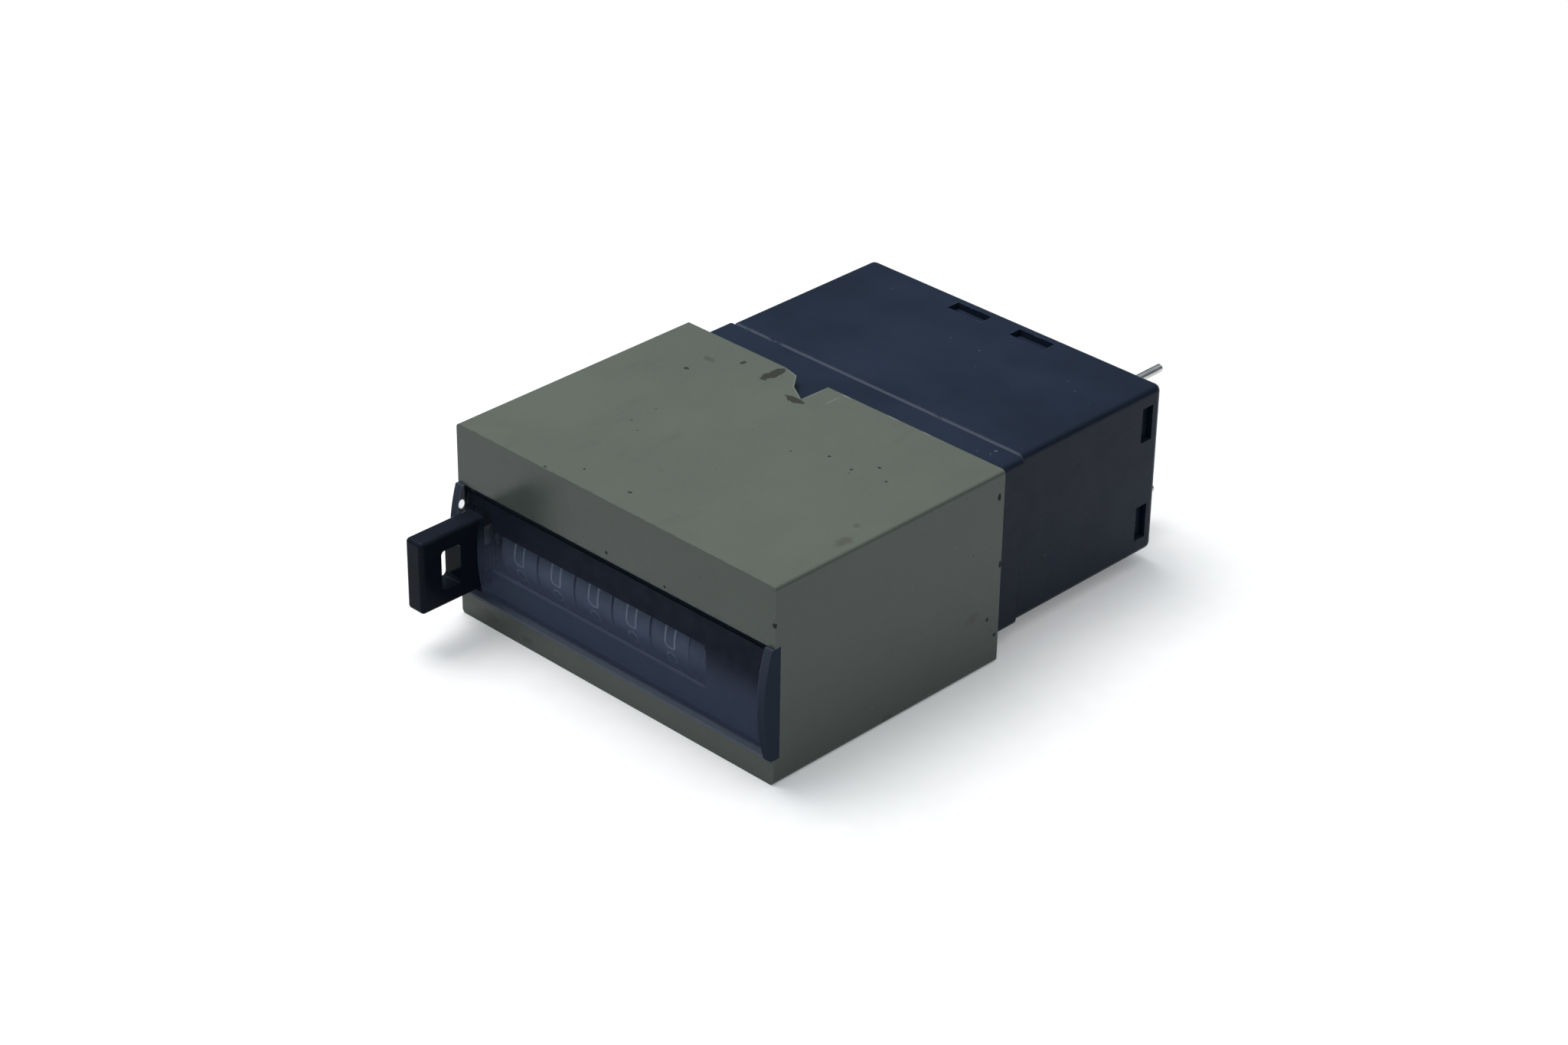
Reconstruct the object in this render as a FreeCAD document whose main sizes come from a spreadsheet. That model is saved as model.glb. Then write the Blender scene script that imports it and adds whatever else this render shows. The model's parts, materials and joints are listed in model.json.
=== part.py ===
import FreeCAD, Part
import math
import os
from types import SimpleNamespace

import Sketcher

# Panel pulse counter with a push key that sets it back to zero. Millimetres throughout.
# +Z is up and the dial looks towards -Y. The origin is the centre of the sleeve's underside.
# Inside this file y is counted back from the front plane of the sleeve, and new_body shifts it.

doc = FreeCAD.newDocument("pulse_counter")
sheet = doc.addObject("Spreadsheet::Sheet", "sizes")

DRIVING_SIZES = (
    ("sleeve_width", 48.0, "front sleeve over its sides"),
    ("sleeve_height", 23.7, "front sleeve from underside to top"),
    ("sleeve_depth", 34.4, "front sleeve from front plane to rear rim"),
    ("sleeve_front_wall", 1.0, "front wall of the sleeve"),
    ("sleeve_round", 0.5, "edge rounding of the sleeve"),
    ("face_bottom", 3.1, "lower edge of the face opening above the underside"),
    ("face_height", 13.4, "height of the face opening"),
    ("side_rebate", 0.85, "how far the side walls stand back beside the lens"),
    ("sleeve_fit", 0.06, "gap between sleeve and front case"),
    ("notch_reach", 4.1, "depth of the broken notch in the sleeve's rear rim"),
    ("notch_right", -1.8, "straight side of the broken notch"),
    ("case_width", 44.66, "front case over its sides"),
    ("case_bottom", 1.7, "underside of both cases above the sleeve's underside"),
    ("case_height", 20.9, "height of both cases"),
    ("case_wall", 1.15, "wall of the front case"),
    ("case_round", 0.8, "rounding of the long edges of both cases"),
    ("seam_depth", 39.6, "seam between front and rear case"),
    ("seam_bevel", 0.3, "bevel on each side of the seam"),
    ("rear_case_width", 43.7, "rear case over its sides"),
    ("rear_case_wall", 1.4, "wall of the rear case"),
    ("case_end", 63.2, "rear end of the counter"),
    ("rear_round", 1.0, "rounding of the rear case's upright back edges"),
    ("spigot_length", 2.0, "how far the rear case plugs into the front case"),
    ("spigot_fit", 0.05, "gap round the spigot"),
    ("snap_width", 5.15, "width of the snap windows in top and bottom"),
    ("snap_tall", 4.3, "height of the snap windows in the sides"),
    ("snap_length", 1.8, "length of the snap windows along the case"),
    ("snap_back", 1.6, "distance from the snap windows to the rear end"),
    ("snap_pitch", 9.4, "distance between the two snap windows in top and bottom"),
    ("snap_side_pitch", 12.52, "distance between the two snap windows in each side"),
    ("cover_thickness", 1.2, "rear closing plate"),
    ("cover_fit", 0.1, "gap round the closing plate"),
    ("tongue_length", 3.6, "snap tongues in front of the closing plate"),
    ("tongue_thickness", 0.8, "thickness of the snap tongues"),
    ("pin_radius", 0.5, "terminal pins"),
    ("pin_shoulder", 0.75, "terminal pins where they pass the closing plate"),
    ("pin_tip", 70.0, "tip of the terminal pins"),
    ("pin_tail", 56.6, "inner end of the terminal pins"),
    ("pin_side", 16.0, "distance of the terminal pins from the middle"),
    ("pin_high", 19.9, "upper terminal pin above the underside"),
    ("pin_low", 4.4, "lower terminal pin above the underside"),
    ("lens_gap", 0.05, "gap round the lens in the face opening"),
    ("lens_wall", 1.0, "wall of the lens"),
    ("lens_edge", 0.4, "how far the lens edges stand in front of the sleeve"),
    ("lens_bulge_radius", 21.6, "bulge of the lens front"),
    ("mask_thickness", 0.3, "dial mask"),
    ("window_left", -19.1, "left edge of the dial window"),
    ("window_right", 13.4, "right edge of the dial window"),
    ("window_bottom", 7.0, "lower edge of the dial window"),
    ("window_height", 5.05, "height of the dial window"),
    ("key_left", -22.25, "left face of the reset key"),
    ("key_thickness", 2.6, "thickness of the reset key"),
    ("key_bottom", 5.2, "lower edge of the reset key"),
    ("key_height", 8.8, "height of the reset key"),
    ("key_reach", 9.25, "how far the key stands in front of the sleeve"),
    ("key_round", 0.5, "edge rounding of the reset key"),
    ("key_slot_front", 6.4, "front end of the slot through the key"),
    ("key_slot_length", 2.7, "length of that slot along the key"),
    ("key_slot_height", 4.9, "height of that slot"),
    ("key_passage", 0.1, "gap round the key in mask and lens"),
    ("slider_thickness", 0.6, "sheet of the reset slider"),
    ("slider_height", 1.9, "bar of the reset slider above its rack"),
    ("slider_lug_depth", 15.4, "front face of the slider's spring lug"),
    ("rack_module", 0.26, "module of rack and reset gear"),
    ("reset_teeth", 8, "teeth of the reset gear"),
    ("drum_depth", 7.9, "drum axis behind the front plane"),
    ("drum_level", 9.0, "drum axis above the underside"),
    ("drum_radius", 6.1, "number drums"),
    ("drum_width", 5.55, "rim width of one drum"),
    ("drum_pitch", 5.85, "distance from drum to drum"),
    ("first_drum", -16.45, "middle of the drum on the left"),
    ("drum_web", 1.55, "disc that joins rim and hub"),
    ("hub_radius", 1.25, "hub of a drum"),
    ("shaft_radius", 0.8, "drum shaft"),
    ("journal_radius", 0.5, "ends of the drum shaft"),
    ("running_fit", 0.03, "radial gap of turning pieces"),
    ("gear_module", 0.46, "module of the transfer gears"),
    ("ring_teeth", 20, "internal teeth of a drum"),
    ("pinion_teeth", 6, "teeth of a transfer pinion"),
    ("pinion_face", 1.1, "width of each toothed half of a pinion"),
    ("pinion_axle", 0.6, "middle of a transfer pinion"),
    ("carrier_thickness", 0.18, "sheet of the pinion carriers"),
    ("comb_side", 1.4, "square bar that holds the carriers"),
    ("cheek_thickness", 0.6, "left side plate"),
    ("right_cheek_face", 13.6, "inner face of the right side plate"),
    ("right_cheek_thickness", 0.8, "right side plate"),
    ("cheek_front", 2.6, "front edge of the frame behind the front plane"),
    ("bridge_level", 16.6, "underside of the bridge plate"),
    ("bridge_thickness", 0.8, "bridge plate"),
    ("bridge_depth", 13.2, "bridge plate from front to rear"),
    ("shroud_wall", 0.35, "blank band beside the last drum"),
    ("star_radius", 4.0, "tips of the star wheel"),
    ("star_teeth", 10, "teeth of the star wheel"),
    ("star_face", 1.0, "width of the star wheel"),
    ("star_left", 10.2, "left face of the star wheel"),
    ("verge_gap", 0.06, "gap between pallets and star wheel tips"),
    ("pivot_depth", 17.1, "armature pivot behind the front plane"),
    ("pivot_level", 18.2, "armature pivot above the underside"),
    ("armature_thickness", 1.0, "iron of the armature"),
    ("armature_width", 11.4, "armature along the pivot"),
    ("armature_drop", 11.3, "armature below its pivot"),
    ("armature_tail", 2.6, "armature above its pivot"),
    ("air_gap", 0.65, "armature to pole at rest"),
    ("pivot_pin", 0.3, "radius of the armature pin"),
    ("coil_middle", 5.7, "coil axis to the right of the middle"),
    ("coil_level", 10.6, "coil axis above the underside"),
    ("core_radius", 2.2, "iron core"),
    ("bobbin_wall", 0.35, "tube of the bobbin"),
    ("flange_radius", 6.5, "flanges of the bobbin"),
    ("flange_thickness", 0.8, "flanges of the bobbin"),
    ("winding_radius", 6.0, "outside of the winding"),
    ("bobbin_length", 16.3, "bobbin over its flanges"),
    ("iron_thickness", 1.4, "iron of the yoke"),
    ("lead_radius", 0.35, "coil leads"),
    ("reset_coil_radius", 1.15, "middle of the reset spring's wire"),
    ("reset_wire", 0.15, "wire radius of the reset spring"),
    ("return_coil_radius", 0.65, "middle of the armature spring's wire"),
    ("return_wire", 0.12, "wire radius of the armature spring"),
)

CARRIER_ANGLE = -45.0  # degrees about X, from +Y: the carriers point down to the rear
VERGE_TILT = 35.0      # degrees above level where the verge leaves the armature
SHROUD_OPEN = 60.0     # half of the shroud's open rear, in degrees
LEAD_FLATS = 8         # sides of a lead's section
SPRING_RUNS = 8        # straight runs in one turn of a spring
SPRING_FLATS = 5       # sides of a spring's wire
PAST = 1.0             # how far a cut runs past the face that it leaves


class Size:
    """A length from the sheet: its formula as text and its present value."""

    def __init__(self, text, value):
        self.text = text
        self.value = value

    def __add__(self, other):
        other = as_size(other)
        return Size(f"({self.text} + {other.text})", self.value + other.value)

    def __sub__(self, other):
        other = as_size(other)
        return Size(f"({self.text} - {other.text})", self.value - other.value)

    def __mul__(self, factor):
        factor = as_size(factor)
        return Size(f"({self.text} * {factor.text})", self.value * factor.value)

    def __truediv__(self, divisor):
        divisor = as_size(divisor)
        return Size(f"({self.text} / {divisor.text})", self.value / divisor.value)

    def __neg__(self):
        return Size(f"(0 - {self.text})", -self.value)

    def __radd__(self, other):
        return as_size(other) + self

    def __rsub__(self, other):
        return as_size(other) - self

    def __rmul__(self, factor):
        return as_size(factor) * self


def as_size(number):
    """Take a plain number as a Size too."""
    if isinstance(number, Size):
        return number
    return Size(f"{number:.6f}", float(number))


for row, (alias, size, note) in enumerate(DRIVING_SIZES, start=1):
    sheet.set(f"A{row}", alias)
    sheet.set(f"B{row}", str(size))
    sheet.set(f"C{row}", note)
    sheet.setAlias(f"B{row}", alias)
doc.recompute()
s = SimpleNamespace(**{alias: Size(f"sizes.{alias}", size) for alias, size, _ in DRIVING_SIZES})
nodes = []


def bind(thing, name, size):
    """Tie one property of an object to a formula on the sheet."""
    thing.setExpression(name, as_size(size).text)


def new_body(label, x=0.0, y=0.0, z=0.0, turn=0.0):
    """A sub-part whose own origin lies at x, y behind the front plane and z, turned about X."""
    body = doc.addObject("PartDesign::Body", label)
    body.Label = label
    body.Placement = FreeCAD.Placement(
        FreeCAD.Vector(0, 0, 0), FreeCAD.Rotation(FreeCAD.Vector(1, 0, 0), turn)
    )
    bind(body, "Placement.Base.x", x)
    bind(body, "Placement.Base.y", y - s.sleeve_depth / 2)
    bind(body, "Placement.Base.z", z)
    nodes.append(body)
    return body


def arc_between(start, end, radius):
    """Arc from start to end, to the left of travel where radius is positive."""
    chord = end - start
    half = chord.Length / 2
    rise = math.sqrt(max(radius * radius - half * half, 0.0))
    across = FreeCAD.Vector(-chord.y, chord.x, 0).normalize()
    centre = start + chord * 0.5 + across * math.copysign(rise, radius)
    first, last = (start, end) if radius > 0 else (end, start)
    begin = math.atan2(first.y - centre.y, first.x - centre.x)
    finish = math.atan2(last.y - centre.y, last.x - centre.x)
    circle = Part.Circle(centre, FreeCAD.Vector(0, 0, 1), abs(radius))
    return Part.ArcOfCircle(circle, begin, finish)


def add_outline(sketch, points):
    """Closed outline. A third value on a point bends the side that follows to that radius."""
    corners = [FreeCAD.Vector(as_size(p[0]).value, as_size(p[1]).value, 0) for p in points]
    first_edge = sketch.GeometryCount
    starts = []
    ends = []
    for number, point in enumerate(points):
        here = corners[number]
        there = corners[(number + 1) % len(points)]
        if len(point) > 2:
            radius = as_size(point[2])
            edge = sketch.addGeometry(arc_between(here, there, radius.value))
            forward = radius.value > 0
            which = sketch.addConstraint(Sketcher.Constraint("Radius", edge, abs(radius.value)))
            bind(sketch, f"Constraints[{which}]", radius if forward else -radius)
        else:
            edge = sketch.addGeometry(Part.LineSegment(here, there))
            forward = True
        starts.append(1 if forward else 2)
        ends.append(2 if forward else 1)
    for number, point in enumerate(points):
        edge = first_edge + number
        following = first_edge + (number + 1) % len(points)
        sketch.addConstraint(Sketcher.Constraint(
            "Coincident", edge, ends[number], following, starts[(number + 1) % len(points)]
        ))
        for direction, size in zip(("DistanceX", "DistanceY"), point[:2]):
            size = as_size(size)
            which = sketch.addConstraint(
                Sketcher.Constraint(direction, -1, 1, edge, starts[number], size.value)
            )
            bind(sketch, f"Constraints[{which}]", size)


def add_circle(sketch, across, up, radius):
    """Circle about a point of the sketch."""
    across, up, radius = as_size(across), as_size(up), as_size(radius)
    centre = FreeCAD.Vector(across.value, up.value, 0)
    edge = sketch.addGeometry(Part.Circle(centre, FreeCAD.Vector(0, 0, 1), radius.value))
    for constraint, size in (
        (Sketcher.Constraint("DistanceX", -1, 1, edge, 3, across.value), across),
        (Sketcher.Constraint("DistanceY", -1, 1, edge, 3, up.value), up),
        (Sketcher.Constraint("Radius", edge, radius.value), radius),
    ):
        which = sketch.addConstraint(constraint)
        bind(sketch, f"Constraints[{which}]", size)


def box(left, right, low, high):
    """Corners of an upright rectangle, for an outline."""
    return [(left, low), (right, low), (right, high), (left, high)]


def feature(body, kind, axis, start, end, outlines=(), circles=()):
    """Pad or Pocket along +X, +Y or +Z, from start to end, of outlines and circles."""
    plane = {"X": "YZ_Plane", "Y": "XZ_Plane", "Z": "XY_Plane"}[axis]
    sketch = body.newObject("Sketcher::SketchObject", f"{body.Name}_{kind}_profile")
    origin = [item for item in body.Origin.OriginFeatures if item.Role == plane][0]
    sketch.AttachmentSupport = [(origin, "")]
    sketch.MapMode = "FlatFace"
    bind(sketch, "AttachmentOffset.Base.z", -as_size(start) if axis == "Y" else start)
    for points in outlines:
        add_outline(sketch, points)
    for across, up, radius in circles:
        add_circle(sketch, across, up, radius)
    result = body.newObject(f"PartDesign::{kind}", f"{body.Name}_{kind}")
    result.Profile = sketch
    bind(result, "Length", as_size(end) - start)
    result.Reversed = (axis == "Y") == (kind == "Pad")
    body.Tip = result
    return result


def pad(body, axis, start, end, outlines=(), circles=()):
    return feature(body, "Pad", axis, start, end, outlines, circles)


def pocket(body, axis, start, end, outlines=(), circles=()):
    return feature(body, "Pocket", axis, start, end, outlines, circles)


def dress(body, kind, size, wanted):
    """Fillet or Chamfer on the edges of the body for which wanted(edge) holds."""
    doc.recompute()
    base = body.Tip
    names = [f"Edge{n}" for n, edge in enumerate(base.Shape.Edges, start=1) if wanted(edge)]
    result = body.newObject(f"PartDesign::{kind}", f"{body.Name}_{kind}")
    result.Base = (base, names)
    bind(result, "Radius" if kind == "Fillet" else "Size", size)
    body.Tip = result
    return result


def repeat_round(body, original, count):
    """Copies of one feature, evenly all round the body's own X axis."""
    pattern = body.newObject("PartDesign::PolarPattern", f"{body.Name}_round")
    pattern.Originals = [original]
    axis = [item for item in body.Origin.OriginFeatures if item.Role == "X_Axis"][0]
    pattern.Axis = (axis, [""])
    pattern.Angle = 360.0
    bind(pattern, "Occurrences", count)
    original.Visibility = False
    body.Tip = pattern
    return pattern


def along(edge, axis):
    """True where a straight edge runs along the axis."""
    if len(edge.Vertexes) < 2:
        return False
    span = edge.Vertexes[-1].Point - edge.Vertexes[0].Point
    return abs(abs(span.dot(axis)) - edge.Length) < 1e-6


X_AXIS = FreeCAD.Vector(1, 0, 0)
Y_AXIS = FreeCAD.Vector(0, 1, 0)
Z_AXIS = FreeCAD.Vector(0, 0, 1)


def near(value, size):
    return abs(value - as_size(size).value) < 0.01


# Places that several pieces share

half_sleeve = s.sleeve_width / 2
half_case = s.case_width / 2
case_top = s.case_bottom + s.case_height
case_front = s.sleeve_front_wall
cavity_side = half_case + s.sleeve_fit
face_top = s.face_bottom + s.face_height
inside_half = half_case - s.case_wall
inside_bottom = s.case_bottom + s.case_wall
inside_top = case_top - s.case_wall
half_rear = s.rear_case_width / 2
rear_inside_half = half_rear - s.rear_case_wall
rear_inside_bottom = s.case_bottom + s.rear_case_wall
rear_inside_top = case_top - s.rear_case_wall
case_middle = s.case_bottom + s.case_height / 2
snap_rear = s.case_end - s.snap_back
snap_front = snap_rear - s.snap_length
key_right = s.key_left + s.key_thickness
key_top = s.key_bottom + s.key_height
rack_pitch = s.rack_module * math.pi
gear_radius = s.rack_module * s.reset_teeth / 2
rack_level = s.drum_level + gear_radius
bore_radius = s.shaft_radius + s.running_fit
ring_pitch_radius = s.gear_module * s.ring_teeth / 2
pinion_pitch_radius = s.gear_module * s.pinion_teeth / 2
pinion_offset = ring_pitch_radius - pinion_pitch_radius
pinion_tip = pinion_pitch_radius + s.gear_module * 0.87
pinion_root = pinion_pitch_radius - s.gear_module * 0.93
ring_tip = ring_pitch_radius - s.gear_module * 0.65
ring_root = ring_pitch_radius + s.gear_module * 1.09
carry_cavity = ring_root + s.gear_module * 0.5
slider_right = key_right - 0.05
slider_left = slider_right - s.slider_thickness
cheek_right = slider_left - 0.15
cheek_left = cheek_right - s.cheek_thickness
last_drum_right = s.first_drum + s.drum_pitch * 4 + s.drum_width / 2
shroud_left = last_drum_right + 0.15
armature_rear = s.pivot_depth + s.armature_thickness / 2
armature_front = s.pivot_depth - s.armature_thickness / 2
pole_face = armature_rear + s.air_gap
bobbin_front = pole_face + 0.65
bobbin_rear = bobbin_front + s.bobbin_length
yoke_front = bobbin_rear + 0.05
yoke_rear = yoke_front + s.iron_thickness
yoke_bottom = s.pivot_level - s.iron_thickness / 2
yoke_top = s.pivot_level + s.iron_thickness / 2
bobbin_tube = s.core_radius + 0.05 + s.bobbin_wall
prong_right = s.armature_width + 0.2
spring_level = s.pivot_level + 2.0


def make_sleeve():
    body = new_body("front_sleeve")
    pad(body, "Y", 0.0, s.sleeve_depth, [box(-half_sleeve, half_sleeve, 0.0, s.sleeve_height)])
    dress(body, "Fillet", s.sleeve_round, lambda edge: along(edge, Y_AXIS))
    pocket(body, "Y", case_front, s.sleeve_depth + PAST, [box(
        -cavity_side, cavity_side, s.case_bottom - s.sleeve_fit, case_top + s.sleeve_fit
    )])
    pocket(body, "Y", -PAST, s.side_rebate, [box(
        -half_sleeve - PAST, half_sleeve + PAST, s.face_bottom, face_top
    )])
    pocket(body, "Y", -PAST, case_front + PAST, [box(
        -cavity_side, cavity_side, s.face_bottom, face_top
    )])
    rim = s.sleeve_depth
    pocket(body, "Z", s.sleeve_height - s.case_wall * 2, s.sleeve_height + PAST, [[
        (s.notch_right, rim + PAST),
        (s.notch_right - 6.5, rim + PAST),
        (s.notch_right - 6.5, rim),
        (s.notch_right - 4.35, rim - s.notch_reach * 0.134),
        (s.notch_right - 2.74, rim - s.notch_reach * 0.634),
        (s.notch_right - 0.2, rim - s.notch_reach),
    ]])


def make_lens():
    body = new_body("front_lens")
    low = s.face_bottom + s.lens_gap
    high = face_top - s.lens_gap
    pad(body, "X", -half_sleeve, half_sleeve, [[
        (s.side_rebate, low),
        (s.side_rebate, high),
        (-s.lens_edge, high, s.lens_bulge_radius),
        (-s.lens_edge, low),
    ]])
    pocket(body, "X", -half_sleeve + s.lens_wall, half_sleeve - s.lens_wall, [[
        (s.side_rebate + PAST, low + s.lens_wall),
        (s.side_rebate + PAST, high - s.lens_wall),
        (s.lens_wall * 0.9 - s.lens_edge, high - s.lens_wall, s.lens_bulge_radius - s.lens_wall),
        (s.lens_wall * 0.9 - s.lens_edge, low + s.lens_wall),
    ]])
    pocket(body, "Y", -s.lens_edge - 3.0, s.side_rebate + PAST, [box(
        s.key_left - s.key_passage, key_right + s.key_passage,
        s.key_bottom - s.key_passage * 6, key_top + s.key_passage,
    )])


def make_mask():
    body = new_body("dial_mask")
    side = half_sleeve - s.lens_wall - s.key_passage
    low = s.face_bottom + s.lens_gap * 2 + s.lens_wall
    high = face_top - s.lens_gap * 2 - s.lens_wall
    rear = s.side_rebate
    front = rear - s.mask_thickness
    pad(body, "Y", front, rear, [box(-side, side, low, high)])
    pocket(body, "Y", front - PAST, rear + PAST, [
        box(s.window_left, s.window_right, s.window_bottom, s.window_bottom + s.window_height),
        box(s.key_left - s.key_passage, key_right + s.key_passage,
            s.key_bottom - s.key_passage, key_top + s.key_passage),
    ])


def make_front_case():
    body = new_body("front_case")
    pad(body, "Y", case_front, s.seam_depth, [box(-half_case, half_case, s.case_bottom, case_top)])
    dress(body, "Fillet", s.case_round, lambda edge: along(edge, Y_AXIS))
    dress(body, "Chamfer", s.seam_bevel,
          lambda edge: near(edge.BoundBox.YMin, s.seam_depth))
    pocket(body, "Y", case_front + s.case_wall, s.seam_depth + PAST, [box(
        -inside_half, inside_half, inside_bottom, inside_top
    )])
    pocket(body, "Y", case_front - PAST, case_front + s.case_wall + PAST, [box(
        -inside_half, s.window_right + 0.4, s.window_bottom - 2.6,
        s.window_bottom + s.window_height + 3.2,
    )])
    pocket(body, "Y", case_front - PAST, s.drum_depth - 0.8, [box(
        -half_case - PAST, key_right + s.key_passage,
        s.key_bottom - s.key_passage * 2, key_top + s.key_passage * 2,
    )])


def make_rear_case():
    body = new_body("rear_case")
    pad(body, "Y", s.seam_depth, s.case_end, [box(-half_rear, half_rear, s.case_bottom, case_top)])
    dress(body, "Fillet", s.case_round, lambda edge: along(edge, Y_AXIS))
    dress(body, "Chamfer", s.seam_bevel,
          lambda edge: near(edge.BoundBox.YMax, s.seam_depth))
    dress(body, "Fillet", s.rear_round,
          lambda edge: along(edge, Z_AXIS) and near(edge.BoundBox.YMin, s.case_end))
    pad(body, "Y", s.seam_depth - s.spigot_length, s.seam_depth + 1.0, [box(
        -inside_half + s.spigot_fit, inside_half - s.spigot_fit,
        inside_bottom + s.spigot_fit, inside_top - s.spigot_fit,
    )])
    pocket(body, "Y", s.seam_depth - s.spigot_length - PAST, s.case_end + PAST, [box(
        -rear_inside_half, rear_inside_half, rear_inside_bottom, rear_inside_top
    )])
    pocket(body, "Z", s.case_bottom - PAST, case_top + PAST, [
        box(side * s.snap_pitch / 2 - s.snap_width / 2, side * s.snap_pitch / 2 + s.snap_width / 2,
            snap_front, snap_rear)
        for side in (-1, 1)
    ])
    pocket(body, "X", -half_rear - PAST, half_rear + PAST, [
        box(snap_front, snap_rear,
            case_middle + side * s.snap_side_pitch / 2 - s.snap_tall / 2,
            case_middle + side * s.snap_side_pitch / 2 + s.snap_tall / 2)
        for side in (-1, 1)
    ])


def make_rear_cover():
    body = new_body("rear_cover")
    side = rear_inside_half - s.cover_fit
    low = rear_inside_bottom + s.cover_fit
    high = rear_inside_top - s.cover_fit
    front = s.case_end - s.cover_thickness
    pad(body, "Y", front, s.case_end, [box(-side, side, low, high)])
    hook = s.rear_case_wall * 0.55
    play = s.cover_fit
    for end in (-1, 1):
        middle = end * s.snap_pitch / 2
        left = middle - s.snap_width / 2 + play
        right = middle + s.snap_width / 2 - play
        for outer, inward in ((high, -1), (low, 1)):
            inner = outer + inward * s.tongue_thickness
            pad(body, "Y", front - s.tongue_length, front + 0.5, [box(left, right, inner, outer)])
            pad(body, "Y", snap_front + play, snap_rear - play, [
                box(left, right, inner, outer - inward * hook)
            ])
        level = case_middle + end * s.snap_side_pitch / 2
        low_end = level - s.snap_tall / 2 + play
        high_end = level + s.snap_tall / 2 - play
        for outer, inward in ((side, -1), (-side, 1)):
            inner = outer + inward * s.tongue_thickness
            pad(body, "Y", front - s.tongue_length, front + 0.5, [
                box(inner, outer, low_end, high_end)
            ])
            pad(body, "Y", snap_front + play, snap_rear - play, [
                box(inner, outer - inward * hook, low_end, high_end)
            ])
    for level in (s.pin_high, s.pin_low):
        pocket(body, "Y", front - PAST, s.case_end + PAST, circles=[
            (s.pin_side, level, s.pin_shoulder)
        ])


def make_terminal_pin(label, level):
    """Round pin with a flange in front of the closing plate and a shoulder through it."""
    body = new_body(label, s.pin_side, 0.0, level)
    front = s.case_end - s.cover_thickness
    pad(body, "Y", s.pin_tail, front, circles=[(0.0, 0.0, s.pin_radius * 0.6)])
    pad(body, "Y", front - s.cover_thickness, front, circles=[(0.0, 0.0, s.pin_radius * 2)])
    pad(body, "Y", front, s.case_end, circles=[(0.0, 0.0, s.pin_shoulder)])
    pad(body, "Y", s.case_end, s.pin_tip, circles=[(0.0, 0.0, s.pin_radius)])
    dress(body, "Chamfer", s.pin_radius * 0.4,
          lambda edge: near(edge.BoundBox.YMin, s.pin_tip))


def make_reset_key():
    body = new_body("reset_key")
    back = -s.lens_edge * 0.75
    pad(body, "X", s.key_left, key_right, [box(-s.key_reach, back, s.key_bottom, key_top)])
    dress(body, "Fillet", s.key_round, lambda edge: near(edge.BoundBox.YMin, -s.key_reach)
          or along(edge, Y_AXIS))
    middle = s.key_bottom + s.key_height / 2
    slot_end = -s.key_slot_front + s.key_slot_length
    pocket(body, "X", s.key_left - PAST, key_right + PAST, [box(
        -s.key_slot_front, slot_end, middle - s.key_slot_height / 2, middle + s.key_slot_height / 2
    )])
    dress(body, "Fillet", s.key_round, lambda edge: along(edge, X_AXIS)
          and abs(edge.CenterOfMass.z - middle.value) < s.key_slot_height.value / 2 + 0.01)
    pocket(body, "Y", back - 2.5, back + PAST, [box(
        slider_left, slider_right, rack_level + s.rack_module * 1.25,
        rack_level + s.rack_module * 1.25 + s.slider_height,
    )])


def make_reset_slider():
    body = new_body("reset_slider")
    root = rack_level + s.rack_module * 1.25
    tip = rack_level - s.rack_module * 0.9
    top = root + s.slider_height
    front = -s.lens_edge * 0.75 - 2.5
    rear = s.slider_lug_depth + s.slider_thickness
    pad(body, "X", slider_left, slider_right, [box(front, rear, root, top)])
    wide = rack_pitch * 0.36
    narrow = rack_pitch * 0.14
    first = s.drum_depth + rack_pitch / 2
    tooth = pad(body, "X", slider_left, slider_right, [[
        (first - narrow, tip), (first + narrow, tip), (first + wide, root + 0.1),
        (first - wide, root + 0.1),
    ]])
    rack = body.newObject("PartDesign::LinearPattern", "rack_teeth")
    rack.Originals = [tooth]
    axis = [item for item in body.Origin.OriginFeatures if item.Role == "Y_Axis"][0]
    rack.Direction = (axis, [""])
    rack.Reversed = True
    bind(rack, "Length", rack_pitch * s.reset_teeth)
    bind(rack, "Occurrences", s.reset_teeth + 1)
    body.Tip = rack
    pad(body, "Y", s.slider_lug_depth, rear, [box(
        slider_left, slider_left + s.reset_coil_radius * 2 + s.slider_thickness,
        root - 0.8, top + 0.3,
    )])


def add_teeth(body, left, right, count, root, tip, root_half, tip_half, angle=0.0):
    """Straight sided teeth all round the body's X axis, the first at angle from +Y."""
    turn = math.radians(angle)
    corners = []
    for radius, half in ((root, -root_half), (tip, -tip_half), (tip, tip_half), (root, root_half)):
        corners.append((
            radius * math.cos(turn) - half * math.sin(turn),
            radius * math.sin(turn) + half * math.cos(turn),
        ))
    tooth = pad(body, "X", left, right, [corners])
    if count is not None:
        repeat_round(body, tooth, count)


def make_reset_gear():
    body = new_body("reset_gear", slider_left, s.drum_depth, s.drum_level)
    root = gear_radius - s.rack_module * 1.2
    pad(body, "X", 0.0, s.slider_thickness, circles=[(0.0, 0.0, root)])
    add_teeth(body, 0.0, s.slider_thickness, s.reset_teeth, root - 0.1,
              gear_radius + s.rack_module * 0.85, s.rack_module * 1.0, s.rack_module * 0.35,
              angle=90.0)
    pocket(body, "X", -PAST, s.slider_thickness + PAST, circles=[(0.0, 0.0, s.journal_radius)])


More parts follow.
